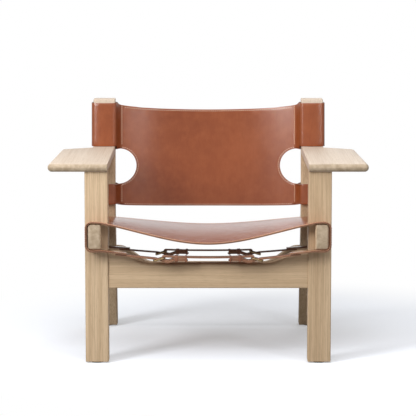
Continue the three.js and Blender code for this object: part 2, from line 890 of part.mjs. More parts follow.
function rivetPlaces(curve) {
  return rivetShares.map((share) => curve.flapEnd + share * billetOverlap);
}

// A round bar along n in the flat layout, laid on the curve
function flatPin(curve, t, lowN, highN, radius) {
  return laid(cylinder(radius, -highN, -lowN, 6).translate(t, 0, 0), curve);
}

function billet(curve) {
  const wide = strapWidth / 2 + overrun;
  const narrow = strapWidth * billetTipShare;
  const shoulder = billetTip + (billetPoint * (wide - narrow)) / (strapWidth / 2 - narrow);
  const root = curve.flapEnd + billetOverlap + overrun;
  const outline = new THREE.Shape([
    new THREE.Vector2(billetTip, -narrow),
    new THREE.Vector2(shoulder, -wide),
    new THREE.Vector2(root, -wide),
    new THREE.Vector2(root, wide),
    new THREE.Vector2(shoulder, wide),
    new THREE.Vector2(billetTip, narrow),
  ]);
  const hole = new THREE.Shape();
  const holeRadius = tongueWidth / 2 + metalGap;
  const [holeStart, holeEnd] = billetHoleShares.map((share) => strapReach + share * buckleRun);
  hole.absarc(holeEnd - holeRadius, 0, holeRadius, -Math.PI / 2, Math.PI / 2);
  hole.absarc(holeStart + holeRadius, 0, holeRadius, Math.PI / 2, (3 * Math.PI) / 2);
  const prism = (shape) => {
    const settings = { depth: strapReach, bevelEnabled: false, curveSegments: 2 };
    const geometry = new THREE.ExtrudeGeometry(shape, settings);
    return solid(laid(geometry.translate(0, 0, -strapReach / 2), curve));
  };
  const face = flapLevel + (leather + 2 * strapThickness) / 2 + metalGap;
  const inside = flapLevel - leather / 2;
  const body = strip(billetPath(curve), curve)
    .intersect(prism(outline))
    .subtract(prism(hole));
  return rivetPlaces(curve).reduce(
    (all, t) =>
      all
        .add(solid(flatPin(curve, t, inside, face, rivetRadius)))
        .add(solid(flatPin(curve, t, face - metalGap, face + rivetHeadThickness, rivetHeadRadius))),
    body,
  );
}

// The holes that the rivets need in a flap
function rivetHoles(curve) {
  const radius = rivetRadius + metalGap;
  const low = flapLevel - leather / 2 - metalGap;
  const high = flapLevel + leather / 2 + metalGap;
  return rivetPlaces(curve).map((t) => flatPin(curve, t, low, high, radius));
}

// The buckle's own frame: its origin on the heel bar, x towards the far bar, z towards the sitter
function buckleMatrix(curve) {
  const [heel, far] = [
    [strapReach, 0],
    [strapReach + buckleRun, buckleRise],
  ].map(([t, n]) => new THREE.Vector2(...sagPoint(curve.halfSpan, curve.sag, t, curve.lift + n)));
  const angle = far.clone().sub(heel).angle();
  return new THREE.Matrix4()
    .makeTranslation(heel.x, 0, heel.y)
    .multiply(new THREE.Matrix4().makeRotationY(-angle));
}

function buckleFrame() {
  const side = strapWidth / 2 + buckleSideGap + barRadius;
  const corner = (x, y, radius, from, steps) =>
    arc(x, y, radius, from, from + 90, steps).map(([u, w]) => new THREE.Vector3(u, w, 0));
  const far = buckleLength - farCorner;
  const near = heelCorner;
  const loop = [
    ...corner(far, farCorner - side, farCorner, -90, 2),
    ...corner(far, side - farCorner, farCorner, 0, 2),
    ...corner(near, side - heelCorner, heelCorner, 90, 1),
    ...corner(near, heelCorner - side, heelCorner, 180, 1),
  ];
  return loopTube(loop, barRadius, axisZ);
}

// The tongue turns on the heel bar and rests on the far bar
function tongue() {
  const hole = barRadius + metalGap;
  const eye = hole + tongueEyeWall;
  const rest = barRadius + metalGap;
  const under = eye - tongueThickness;
  const ring = arc(0, 0, eye, 90, 360 + THREE.MathUtils.radToDeg(Math.asin(under / eye)), 9);
  const tip = buckleLength + barRadius;
  const outline = [
    ...ring,
    [buckleLength - barRadius, rest],
    [tip, rest],
    [tip + barRadius / 2, rest + tongueThickness / 2],
    [tip, rest + tongueThickness * tongueTipShare],
    [buckleLength / 2, rest + tongueThickness * tongueMiddleShare],
  ];
  return solid(flatOutline(outline, tongueWidth, circle(0, 0, hole, 8)));
}

// Where each set of straps lies
const seatTilt = -Math.atan(railFallShare);

function seatSet(name, y, sag) {
  const z = railBottom(y) - lie - sag;
  const curve = { ...seatCurve(sag), flapEnd: railInner - seatFlapReach };
  return { name, curve, position: [0, y, z], tilt: seatTilt };
}

function backSet(name, z) {
  const y = upperFront(z) + seamDepth + backSag;
  const curve = { ...backCurve, flapEnd: seamX - backFlapInset };
  return { name, curve, position: [0, y, z], tilt: Math.PI / 2 - backLean };
}

const strapSets = [
  seatSet("seat_front", front + seatFrontStrapInset, seatFrontStrapSag),
  seatSet("seat_middle", seatMiddleStrap, seatMiddleStrapSag),
  backSet("back_top", backTop - backTopStrapInset),
  backSet("back_middle", sleeveBottom + backMiddleStrapShare * upperSleeveHeight),
  backSet("back_lower", backBottom + backLowerStrapInset),
];

// A strap with its two buckled ends, as a group of pieces
function strapGroup({ name, curve, position, tilt }) {
  const group = new THREE.Group();
  group.position.set(...position);
  group.rotation.x = tilt;
  group.add(piece(name + "_strap", centreStrap(curve), "leather"));
  const toBuckle = buckleMatrix(curve);
  for (const [sideName, side] of sides) {
    const end = new THREE.Group();
    end.applyMatrix4(endTurn(side));
    const label = name + "_" + sideName;
    end.add(piece(label + "_billet", billet(curve), "leather"));
    const buckle = new THREE.Group();
    buckle.applyMatrix4(toBuckle);
    buckle.add(piece(label + "_buckle", buckleFrame(), "brass"));
    buckle.add(piece(label + "_tongue", tongue(), "brass"));
    end.add(buckle);
    group.add(end);
  }
  return group;
}

// The rivet holes of every set, in the chair's own frame
function holesOf(set) {
  const place = new THREE.Matrix4().makeRotationX(set.tilt).setPosition(...set.position);
  return sides.flatMap(([, side]) => {
    const toEnd = place.clone().multiply(endTurn(side));
    return rivetHoles(set.curve).map((hole) => solid(hole, toEnd));
  });
}

function pierced(body, sets) {
  return sets.flatMap(holesOf).reduce((all, hole) => all.subtract(hole), body);
}

const chair = new THREE.Group();
chair.name = "lounge_chair";

for (const [sideName, side] of sides) {
  const add = (name, body, material) => chair.add(piece(sideName + "_" + name, body, material, side));
  add("front_leg", frontLeg(), "oak");
  add("rear_post", rearPost(), "oak");
  add("side_rail", sideRail(), "oak");
  add("armrest", armrest(), "oak");
  add("front_glide", glide(legFoot), "glide");
  add("rear_glide", glide(postFoot), "glide");
}
chair.add(piece("front_rail", frontRail(), "oak"));
chair.add(piece("rear_rail", rearRail(), "oak"));
chair.add(piece("seat_sling", pierced(seatSling(), strapSets.slice(0, 2)), "leather"));
chair.add(piece("back_sling", pierced(backSling(), strapSets.slice(2)), "leather"));
strapSets.forEach((set) => chair.add(strapGroup(set)));

export default chair;
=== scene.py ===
"""A lounge chair with an oak frame, leather slings and buckled straps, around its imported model."""

from math import acos, atan, atan2, cos, degrees, dist, hypot, pi, radians, sin, sqrt, tan

import bpy
import numpy as np
from mathutils import Matrix, Vector

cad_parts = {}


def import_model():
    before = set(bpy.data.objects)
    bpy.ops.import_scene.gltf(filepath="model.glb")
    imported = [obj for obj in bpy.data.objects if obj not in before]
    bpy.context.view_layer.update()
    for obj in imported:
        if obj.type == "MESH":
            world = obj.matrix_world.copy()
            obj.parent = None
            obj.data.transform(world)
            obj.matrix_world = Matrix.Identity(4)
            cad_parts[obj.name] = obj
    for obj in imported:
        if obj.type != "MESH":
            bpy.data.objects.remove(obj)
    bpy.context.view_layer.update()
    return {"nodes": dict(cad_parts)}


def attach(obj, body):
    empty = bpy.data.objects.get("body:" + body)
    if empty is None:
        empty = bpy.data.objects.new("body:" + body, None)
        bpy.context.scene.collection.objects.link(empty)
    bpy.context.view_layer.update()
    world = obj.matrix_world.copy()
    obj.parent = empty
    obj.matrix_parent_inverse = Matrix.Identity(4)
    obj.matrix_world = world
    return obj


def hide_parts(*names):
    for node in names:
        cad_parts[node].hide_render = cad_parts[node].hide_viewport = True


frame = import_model()

# Sizes in metres, as in the part's own source
WOOD_GAP = 0.0003
LEATHER_GAP = 0.0005
METAL_GAP = 0.0003
FRONT = -0.3
CLEAR_WIDTH = 0.516
POST_WIDTH = 0.06
WOOD_EDGE = 0.003
LEG_DEPTH = 0.042
LEG_SETBACK = 0.035
ARM_UNDERSIDE = 0.5
ARM_THICKNESS = 0.022
FOOT_HEIGHT = 0.0033
FOOT_DEPTH = 0.048
FOOT_EDGE = 0.0015
KNEE_DEPTH = 0.046
KNEE_HEIGHT = 0.375
KNEE_SETBACK = 0.445
KNEE_BLEND = 0.03
POST_TOP_SETBACK = 0.483
POST_TOP_DEPTH = 0.044
POST_STUB = 0.011
RAIL_HEIGHT = 0.067
RAIL_INSET = 0.017
RAIL_OUTER_INSET = 0.008
RAIL_FRONT_HEIGHT = 0.369
RAIL_FALL = 0.101
RAIL_ROUND = 0.009
RAIL_RECESS = 0.003
RAIL_END_ROUND = 0.006
ARM_WIDTH = 0.1545
ARM_OVERHANG = 0.012
ARM_REAR_INSET = 0.076
ARM_SKEW = 0.3875
ARM_TAIL_BLEND = 0.02
ARM_TAPER = 0.01
ARM_REAR_ROUND = 0.012
ARM_INNER_ROUND = 0.004
ARM_TAIL_EDGE = 0.0018
ARM_FLAT = 0.0002
CROSS_RAIL_SETBACK = 0.005
CROSS_RAIL_THICKNESS = 0.032
SCOOP_ROUND = 0.012
FRONT_RAIL_TOP = 0.2942
FRONT_RAIL_HEIGHT = 0.098
FRONT_RAIL_SCOOP = 0.033
FRONT_RAIL_FLAT = 0.016
FRONT_RAIL_RAMP = 0.09
REAR_RAIL_TOP = 0.2381
REAR_RAIL_HEIGHT = 0.106
REAR_RAIL_SCOOP = 0.048
REAR_RAIL_FLAT = 0.008
REAR_RAIL_RAMP = 0.095
LEATHER = 0.0045
CUT_EDGE = 0.0008
SEAT_CUT_EDGE = 0.0011
SEAT_REAR_GAP = 0.0045
SEAT_FRONT_SAG = 0.054
SEAT_REAR_SAG = 0.02
SEAT_NOTCH_GAP = 0.002
SEAT_FLAP_REACH = 0.065
SEAT_TAB_WIDTH = 0.036
LOOP_ROUND = 0.015
LOOP_SHIFT = 0.0023
SLEEVE_LIFT = 0.0005
UPPER_SLEEVE_HEIGHT = 0.1185
LOWER_SLEEVE_DROP = 0.081
LOWER_SLEEVE_HEIGHT = 0.056
SEAM_INSET = 0.013
SEAM_DEPTH = 0.025
SEAM_TOP_DROP = 0.0064
SEAM_BOTTOM_DROP = 0.004
BACK_TOP_DROP = 0.0177
BACK_BOTTOM_DROP = 0.0095
BACK_SAG = 0.055
BACK_FLAP_INSET = 0.048
LAYER_GAP = 0.002
OPENING_MARGIN = 0.00325
OPENING_DROP = 0.002
OPENING_INSET = 0.0095
OPENING_CUT = 0.6
SLEEVE_ROUND = 0.01
SLEEVE_SHIFT = 0.0042
STRAP_WIDTH = 0.028
STRAP_THICKNESS = 0.0038
STRAP_REACH = 0.1135
FOLD_RUN = 0.028
FOLD_TAIL = 0.008
BILLET_OVERLAP = 0.028
BILLET_TAIL = 0.0175
BILLET_POINT = 0.009
KEEPER_WIDTH = 0.008
KEEPER_THICKNESS = 0.0016
KEEPER_CORNER = 0.0016
KEEPER_EDGE = 0.0003
TIP_KEEPER_WIDTH = 0.005
TIP_KEEPER_SETBACK = 0.0025
FOLD_TAIL_SETBACK = 0.0035
RIVET_HEAD = 0.0045
RIVET_DOME = 0.0011
BAR_RADIUS = 0.002
BUCKLE_LENGTH = 0.027
BUCKLE_RISE = 0.008
BUCKLE_SIDE_GAP = 0.0006
HEEL_CORNER = 0.002
FAR_CORNER = 0.006
TONGUE_WIDTH = 0.0045
TONGUE_SIDE_GAP = 0.00075
TONGUE_EYE_WALL = 0.0017
TONGUE_THICKNESS = 0.0024
TONGUE_EDGE = 0.0006
TONGUE_LEAVE = (0.002, 0.0012)
SEAT_FRONT_STRAP_INSET = 0.019
SEAT_FRONT_STRAP_SAG = 0.017
SEAT_MIDDLE_STRAP_SAG = 0.01
BACK_TOP_STRAP_INSET = 0.045
BACK_LOWER_STRAP_INSET = 0.028
STITCH_PITCH = 0.006
STITCH_LENGTH = 0.0047
STITCH_RADIUS = 0.001
STITCH_INSET = 0.004
CREASE_INSET = 0.0036
CREASE_EDGES = (0.0011, 0.0003)
NEAR = 0.001
PROBE = 0.0005
WELD_REACH = 0.00001
CURVE_STEP = 0.0025
TONGUE_STEP = 0.0015

# Angles in degrees, shares and counts
SLEEVE_TURN = 14
FRONT_STRAP_TURN = 3.5
EDGE_FALL = 0.7
SEAT_PARABOLA = 0.5
SEAT_MIDDLE_SHARE = 0.53
BACK_MIDDLE_SHARE = 0.26
RIVET_SHARES = (0.3, 0.7)
FOLD_SHARES = ((0, 0), (0.16, -0.3), (0.4, -0.45), (0.72, 0.3), (1, 1))
BILLET_CROSSING = 0.26
BILLET_HOLE = (-0.105, 0.665)
BILLET_TIP_SHARE = 1 / 6
SEAT_PANEL_STEPS = 40
SEAT_FLAP_STEPS = 6
BACK_PANEL_STEPS = 44
STRIP_STEPS = 4
STITCH_SIDES = 6
STITCH_RINGS = ((-0.5, 0.5, 0.9), (-0.32, 1, 0.1), (0.32, 1, 0.1), (0.5, 0.5, 0.9))

# Places that follow from the sizes
LEG_INNER = CLEAR_WIDTH / 2
LEG_OUTER = LEG_INNER + POST_WIDTH
LEG_FRONT = FRONT + LEG_SETBACK
LEG_BACK = LEG_FRONT + LEG_DEPTH
LEG_MIDDLE = LEG_INNER + POST_WIDTH / 2
TAB_BACK = LEG_FRONT - SEAT_NOTCH_GAP
NOTCH_BACK = LEG_BACK + SEAT_NOTCH_GAP
NOTCH_X = LEG_INNER - SEAT_NOTCH_GAP
RAIL_INNER = LEG_INNER + RAIL_INSET
RAIL_OUTER = LEG_OUTER - RAIL_OUTER_INSET
ARM_TOP = ARM_UNDERSIDE + ARM_THICKNESS
ARM_OUTER = LEG_INNER + ARM_WIDTH
ARM_FRONT = LEG_FRONT - ARM_OVERHANG
SLEEVE_BOTTOM = ARM_TOP + SLEEVE_LIFT
BACK_TOP = SLEEVE_BOTTOM + UPPER_SLEEVE_HEIGHT
POST_HEIGHT = BACK_TOP + POST_STUB
LOWER_SLEEVE_TOP = ARM_UNDERSIDE - LOWER_SLEEVE_DROP
BACK_BOTTOM = LOWER_SLEEVE_TOP - LOWER_SLEEVE_HEIGHT
OPENING_RADIUS = (SLEEVE_BOTTOM - LOWER_SLEEVE_TOP) / 2 - OPENING_MARGIN
OPENING_X = LEG_INNER - OPENING_INSET
OPENING_HEIGHT = LOWER_SLEEVE_TOP - OPENING_DROP + OPENING_RADIUS
KNEE_FRONT = FRONT + KNEE_SETBACK
POST_TOP_FRONT = FRONT + POST_TOP_SETBACK
POST_LEAN = (POST_TOP_FRONT - KNEE_FRONT) / (POST_HEIGHT - KNEE_HEIGHT)
FOOT_FRONT = -FRONT - FOOT_DEPTH
LIE = LEATHER_GAP + LEATHER / 2
SEAM_X = LEG_INNER - SEAM_INSET
MAIN_LEVEL = -(BAR_RADIUS + METAL_GAP + STRAP_THICKNESS / 2)
FLAP_LEVEL = MAIN_LEVEL + METAL_GAP
NEXT_LAYER = STRAP_THICKNESS + METAL_GAP
RETURN_LEVEL = MAIN_LEVEL + NEXT_LAYER
BILLET_LEVEL = RETURN_LEVEL + NEXT_LAYER
BUCKLE_RUN = sqrt(BUCKLE_LENGTH**2 - BUCKLE_RISE**2)
KEEPER_START = STRAP_REACH - FOLD_RUN - KEEPER_WIDTH
FOLD_END = KEEPER_START - FOLD_TAIL
BILLET_TIP = FOLD_END - BILLET_TAIL


def smooth(share):
    s = min(max(share, 0), 1)
    return s * s * (3 - 2 * s)


def bent_line(z, low, knee, high):
    """A post's front or back at a height, from its places at the foot, the knee and the top."""
    low_slope = (knee - low) / (KNEE_HEIGHT - FOOT_HEIGHT)
    high_slope = (high - knee) / (POST_HEIGHT - KNEE_HEIGHT)
    above = z - KNEE_HEIGHT
    in_bend = min(max(above + KNEE_BLEND, 0), 2 * KNEE_BLEND)
    turned = in_bend**2 / (4 * KNEE_BLEND) + max(above - KNEE_BLEND, 0)
    return knee + low_slope * above + (high_slope - low_slope) * turned


def post_front(z):
    return bent_line(z, FOOT_FRONT, KNEE_FRONT, POST_TOP_FRONT)


def post_back(z):
    return bent_line(z, FOOT_FRONT + FOOT_DEPTH, KNEE_FRONT + KNEE_DEPTH,
                     POST_TOP_FRONT + POST_TOP_DEPTH)


def upper_front(z):
    """The plane of the posts' fronts above the knee."""
    return KNEE_FRONT + POST_LEAN * (z - KNEE_HEIGHT)


def rail_top(y):
    return RAIL_FRONT_HEIGHT - RAIL_FALL * (y - FRONT)


def rail_bottom(y):
    return rail_top(y) - RAIL_HEIGHT


SEAT_BACK = post_front(rail_top(KNEE_FRONT)) - SEAT_REAR_GAP
SEAT_FRONT_STRAP = FRONT + SEAT_FRONT_STRAP_INSET
SEAT_MIDDLE_STRAP = FRONT + SEAT_MIDDLE_SHARE * (SEAT_BACK - FRONT)


# Shader nodes

def linear(red, green, blue):
    """A colour written as 8-bit sRGB values."""
    def one(value):
        c = value / 255
        return c / 12.92 if c <= 0.04045 else ((c + 0.055) / 1.055) ** 2.4
    return (one(red), one(green), one(blue), 1)


def tones(*colours):
    """A leather's base, deep and worn colours."""
    return [linear(*colour) for colour in colours]


def operator(operation):
    return lambda value, *others: value.math(operation, *others)


class Value:
    """A socket whose sums are written as Python expressions."""

    def __init__(self, shop, socket):
        self.shop, self.socket = shop, socket

    def math(self, operation, *others):
        return self.shop.node("Math", dict(enumerate([self, *others])), operation=operation)

    __add__ = __radd__ = operator("ADD")
    __mul__ = __rmul__ = operator("MULTIPLY")
    __sub__ = operator("SUBTRACT")
    __pow__ = operator("POWER")
    __lt__ = operator("LESS_THAN")
    __abs__ = operator("ABSOLUTE")
    __or__ = operator("MAXIMUM")

    def __rsub__(self, other):
        return self * -1 + other

    def __getitem__(self, name):
        return Value(self.shop, self.socket.node.outputs[name])


class Shop:
    """The nodes of one material or of the world."""

    def __init__(self, owner):
        owner.use_nodes = True
        self.owner, self.tree = owner, owner.node_tree
        self.tree.nodes.clear()

    def node(self, kind, inputs=(), **settings):
        """A node of a kind, with its settings made first, then its sockets' values or links."""
        node = self.tree.nodes.new("ShaderNode" + kind)
        for key, value in settings.items():
            if key == "stops":
                for element, place in zip(node.color_ramp.elements, value):
                    element.position = place
            else:
                setattr(node, key, value)
        for key, value in dict(inputs).items():
            if isinstance(value, Value):
                self.tree.links.new(value.socket, node.inputs[key])
            else:
                node.inputs[key].default_value = value
        return Value(self, next(o for o in node.outputs if o.enabled)) if node.outputs else None

    def coordinates(self, scale=(1, 1, 1), shift=(0, 0, 0)):
        place = self.node("TexCoord")["Object"]
        return self.node("Mapping", {"Vector": place, "Scale": scale, "Location": shift})

    def axes(self):
        """The three object coordinates as numbers."""
        parts = self.node("SeparateXYZ", {0: self.node("TexCoord")["Object"]})
        return parts["X"], parts["Y"], parts["Z"]

    def noise(self, vector, scale, detail=3.0, roughness=0.5, distortion=0.0):
        return self.node("TexNoise", {"Vector": vector, "Scale": scale, "Detail": detail,
                                      "Roughness": roughness, "Distortion": distortion})

    def ramp(self, value, *stops):
        """From black at the first stop to white at the second."""
        return self.node("ValToRGB", {0: value}, stops=stops)

    def blend(self, factor, first, second):
        """A colour between two others; a Mix node has its colours at 6 and 7, its result at 2."""
        return self.node("Mix", {0: factor, 6: first, 7: second}, data_type="RGBA")[2]

    def eased(self, value, start, end):
        """From zero at start to one at end, smoothly."""
        inputs = {"Value": value, "From Min": start, "From Max": end}
        return self.node("MapRange", inputs, interpolation_type="SMOOTHSTEP")

    def bump(self, height, strength, distance):
        return self.node("Bump", {"Height": height, "Strength": strength, "Distance": distance})

    def principled(self, **inputs):
        names = {key.replace("_", " "): value for key, value in inputs.items()}
        self.node("OutputMaterial", {"Surface": self.node("BsdfPrincipled", names)})
        return self.owner


def shop_for(name):
    return Shop(bpy.data.materials.new(name))


OAK_BASE = linear(218, 192, 159)
OAK_DEEP = linear(190, 162, 129)
OAK_LINE = linear(168, 142, 112)
OAK_PORE = linear(134, 111, 86)
# Paler, greyer oak for the armrests and post tops: painted top light and sheen on the same oak as
# the rest
PAINTED_TOP_LIGHT_BASE = linear(215, 199, 182)
PAINTED_TOP_LIGHT_DEEP = linear(196, 178, 160)
END_BASE = linear(188, 169, 144)
END_DEEP = linear(160, 140, 115)
BURNISHED = linear(74, 38, 22)
HIDE_TONES = tones((146, 78, 43), (122, 60, 31), (160, 92, 56))


def oak(name, along, base, deep, shift, contrast=1.0):
    """Pale soaped oak whose grain runs along one axis."""
    shop = shop_for(name)

    def streaks(stretch, scale, detail=3.0, twist=0.0):
        sizes = [1.0, 1.0, 1.0]
        sizes["xyz".index(along)] = stretch
        return shop.noise(shop.coordinates(sizes, shift=shift), scale, detail, 0.55, twist)

    boards = streaks(0.03, 14.0, 2.0)
    bands = streaks(0.02, 110.0, 4.0, 0.4)
    fibres = streaks(0.01, 480.0, 4.0, 0.2)
    pores = shop.ramp(streaks(0.025, 1500.0, 1.0), 0.56, 0.68)
    tone = shop.blend(shop.ramp(boards, 0.35, 0.65) * 0.5, base, deep)
    tone = shop.blend(shop.ramp(bands, 0.44, 0.6) * (0.6 * contrast), tone, deep)
    tone = shop.blend(shop.ramp(fibres, 0.46, 0.62) * (0.5 * contrast), tone, OAK_LINE)
    tone = shop.blend(pores * 0.3, tone, OAK_PORE)
    return shop.principled(
        Base_Color=tone,
        Roughness=fibres * 0.16 + 0.46,
        Normal=shop.bump(fibres * 0.7 + bands * 0.3 - pores * 0.6, 0.25, 0.0004),
        Specular_IOR_Level=0.2,
    )


def end_oak():
    """Sawn end grain: dots and faint rings."""
    shop = shop_for("oak_end_grain")
    place = shop.coordinates((1.0, 0.1, 1.0))
    rings = shop.noise(place, 70.0, 3.0, 0.5, 0.6)
    dots = shop.noise(place, 900.0, 2.0)
    tone = shop.blend(shop.ramp(rings, 0.35, 0.65), END_BASE, END_DEEP)
    tone = shop.blend(shop.ramp(dots, 0.55, 0.75) * 0.4, tone, OAK_PORE)
    return shop.principled(
        Base_Color=tone,
        Roughness=dots * 0.1 + 0.55,
        Normal=shop.bump(dots, 0.15, 0.0003),
    )


def leather(name, colours, gloss, grain=1.0, brushed=(1, 1, 1), creases_of=None, shine=0.4):
    """Saddle leather: clouds of dye, fine pores, brush marks, pressed lines and a waxed sheen."""
    shop = shop_for(name)
    base, deep, worn = colours
    place = shop.coordinates()
    clouds = shop.noise(place, 5.0, 4.0, 0.5, 0.3)
    mottle = shop.noise(place, 45.0, 6.0, 0.62)
    brush = shop.noise(shop.coordinates(brushed), 260.0, 4.0, 0.6, 0.5)
    cells = shop.node("TexVoronoi", {"Vector": place, "Scale": 1100.0 * grain},
                      feature="DISTANCE_TO_EDGE")
    creases = shop.ramp(cells, 0.0, 0.16)
    tone = shop.blend(shop.ramp(clouds, 0.3, 0.7), base, deep)
    tone = shop.blend(shop.ramp(mottle, 0.4, 0.75) * 0.4, tone, worn)
    tone = shop.blend(shop.ramp(brush, 0.45, 0.7) * 0.3, tone, deep)
    tone = shop.blend((1 - creases) * 0.25, tone, deep)
    height = creases * 0.3 + mottle * 0.5 + brush * 0.35
    if creases_of:
        pressed = creases_of(shop)
        tone = shop.blend(pressed * 0.75, tone, BURNISHED)
        height = height - pressed * 3
    return shop.principled(
        Base_Color=tone,
        Roughness=mottle * 0.08 + brush * 0.1 + gloss,
        Normal=shop.bump(height, 0.14, 0.0004),
        Specular_IOR_Level=shine,
    )


def groove(distance):
    """One in a band around the crease, at a distance from an edge."""
    return distance.shop.eased(abs(distance - CREASE_INSET), *CREASE_EDGES)


def seat_creases(shop):
    """Along the front and the rear edge."""
    y = shop.axes()[1]
    return groove(y - FRONT) | groove(SEAT_BACK - y)


def back_creases(shop):
    """Along the top, the bottom and both openings."""
    x, y, z = shop.axes()
    x = abs(x)
    share = (x * (1 / SEAM_X)).math("MINIMUM", 1.0)
    fall = (1 - share * share) ** EDGE_FALL
    top = (BACK_TOP - SEAM_TOP_DROP) - fall * BACK_TOP_DROP - z
    bottom = z - (BACK_BOTTOM - SEAM_BOTTOM_DROP) + fall * BACK_BOTTOM_DROP
    across, up = x - OPENING_X, z - OPENING_HEIGHT
    hole = (across * across + up * up) ** 0.5 - OPENING_RADIUS
    return (groove(top) | groove(bottom)) * (x < SEAM_X) | groove(hole) * (x < LEG_INNER)


def plain(name, colour, roughness, metallic=0.0, mottle=0.1, scale=300.0):
    """A finish with a slight unevenness of colour and gloss."""
    shop = shop_for(name)
    cloud = shop.noise(shop.coordinates(), scale, 3.0, 0.55)
    darker = tuple(c * (1 - mottle * 2) for c in colour[:3]) + (1,)
    return shop.principled(
        Base_Color=shop.blend(cloud, colour, darker),
        Roughness=cloud * 0.15 + roughness,
        Metallic=metallic,
        Normal=shop.bump(cloud, 0.08, 0.0002),
    )


oak_up = oak("oak_grain_up", "z", OAK_BASE, OAK_DEEP, (0.0, 0.0, 0.0))
oak_across = oak("oak_grain_across", "x", OAK_BASE, OAK_DEEP, (3.1, 0.4, 0.2), 0.75)
oak_back = oak("oak_grain_back", "y", OAK_BASE, OAK_DEEP, (1.7, 0.9, 0.6))
# The armrests take the paler tones: painted top light and sheen
oak_arm_painted_light = oak("oak_armrests_painted_top_light", "y", PAINTED_TOP_LIGHT_BASE, PAINTED_TOP_LIGHT_DEEP, (0.3, 2.2, 0.9), 0.5)
# The post tops take the paler tones too: painted light
oak_stub_painted_light = oak("oak_post_tops_painted_light", "z", PAINTED_TOP_LIGHT_BASE, PAINTED_TOP_LIGHT_DEEP, (0.0, 0.0, 0.0), 0.5)
oak_end = end_oak()
seat_hide = leather("seat_leather", HIDE_TONES, 0.1, 1.0, (0.1, 1, 1), seat_creases, 0.5)
back_hide = leather("back_leather", HIDE_TONES, 0.1, 1.0, (1, 1, 0.08), back_creases, 0.35)
seat_edge = leather("cut_leather_edge", tones((104, 64, 42), (78, 47, 30), (140, 94, 66)), 0.4, 0.5)
# Light tan for the rounded arris of the seat and the straps: a painted highlight where the edge
# faces up into the light
painted_highlight_arris = leather("painted_arris_highlight", tones((190, 142, 108), (150, 102, 72), (214, 176, 146)), 0.3, 0.5)
dark_edge = leather("burnished_edge", tones((92, 50, 30), (70, 36, 20), (116, 68, 42)), 0.3, 0.5)
strap_hide = leather("strap_leather", tones((142, 92, 66), (112, 68, 47), (166, 116, 88)), 0.3, 1.2)
strap_edge = leather("strap_edge", tones((120, 80, 58), (92, 58, 42), (146, 104, 80)), 0.4, 0.5)
thread = plain("waxed_thread", linear(240, 200, 170), 0.5, scale=900.0)
seat_thread = plain("dark_waxed_thread", linear(196, 150, 118), 0.5, scale=900.0)
brass = plain("dulled_brass", linear(140, 118, 84), 0.2, 1.0, 0.2, 200.0)
plastic = plain("dark_plastic", linear(42, 41, 39), 0.5)


# Meshes

def deselect():
    if bpy.context.object and bpy.context.object.mode != "OBJECT":
        bpy.ops.object.mode_set(mode="OBJECT")
    bpy.ops.object.select_all(action="DESELECT")


def take(obj):
    """Makes one object the only selected and the active one."""
    deselect()
    obj.select_set(True)
    bpy.context.view_layer.objects.active = obj


def settle(obj):
    """Puts an object's place, turn and size into its mesh."""
    take(obj)
    bpy.ops.object.transform_apply(location=True, rotation=True, scale=True)
    return obj


def modify(obj, kind, **settings):
    """Adds one modifier and applies it."""
    take(obj)
    modifier = obj.modifiers.new(kind.lower(), kind)
    for key, value in settings.items():
        setattr(modifier, key, value)
    bpy.ops.object.modifier_apply(modifier=modifier.name)


def shade(obj, angle):
    take(obj)
    bpy.ops.object.shade_smooth_by_angle(angle=radians(angle))
    return obj


def clothe(obj, *materials):
    obj.data.materials.clear()
    for material in materials:
        obj.data.materials.append(material)
    return obj


def added(name, data):
    """A new object in the scene."""
    obj = bpy.data.objects.new(name, data)
    bpy.context.scene.collection.objects.link(obj)
    return obj


def made(name, vertices, faces):
    """An object from points and faces."""
    mesh = bpy.data.meshes.new(name)
    mesh.from_pydata([tuple(v) for v in vertices], [], faces)
    mesh.update()
    return added(name, mesh)


def grid_sheet(name, grid, keep=lambda i, j: True):
    """A surface of quads through a grid of points, with only the points that it needs."""
    rows = len(grid[0])
    points = [p for line in grid for p in line]
    starts = [i * rows + j for i in range(len(grid) - 1) for j in range(rows - 1) if keep(i, j)]
    faces = [(a, a + rows, a + rows + 1, a + 1) for a in starts]
    used = {old: new for new, old in enumerate(sorted({k for face in faces for k in face}))}
    return made(name, [points[k] for k in used], [[used[k] for k in face] for face in faces])


def solidify(obj, thickness):
    """Gives a surface its thickness; the rim takes the second material."""
    modify(obj, "SOLIDIFY", thickness=thickness, offset=0, use_even_offset=True,
           use_quality_normals=True, material_offset_rim=1)


def round_off(obj, width, segments, arris=-1):
    modify(obj, "BEVEL", width=width, segments=segments, limit_method="ANGLE",
           angle_limit=radians(50), material=arris)


def thicken(obj, thickness, edge, segments=3, arris=-1):
    solidify(obj, thickness)
    round_off(obj, edge, segments, arris)
    return shade(obj, 40)


def sag_point(half_span, sag, t, out):
    """A point beside a hanging curve; t runs out from the middle, out is away from the sitter."""
    slope = 2 * sag * t / half_span**2
    norm = hypot(1, slope)
    return t + out * slope / norm, sag * (t / half_span) ** 2 - out / norm


def arc(x, y, radius, start, end, steps):
    angles = [radians(start + (end - start) * i / steps) for i in range(steps + 1)]
    return [(x + radius * cos(a), y + radius * sin(a)) for a in angles]


def rounded_loop(start, *corners):
    """An outline round corners a quarter turn apart, each with its centre, radius and steps."""
    loop = []
    for quarter, (x, y, radius, steps) in enumerate(corners):
        turn = start + 90 * quarter
        loop += arc(x, y, radius, turn, turn + 90, steps)
    return loop


def mirrored(half):
    return [(-p[0], *p[1:]) for p in half[:0:-1]] + half


def shares(count):
    return [i / count for i in range(count + 1)]


def banded(start, *bands):
    """Rows through bands, each with its end, its steps and its kind, and the kind of each step."""
    rows, kinds = [start], []
    for end, count, kind in bands:
        first = rows[-1]
        rows += [first + (end - first) * share for share in shares(count)[1:]]
        kinds += [kind] * count
    return rows, kinds


def path_length(points):
    return sum(dist(a, b) for a, b in zip(points, points[1:]))


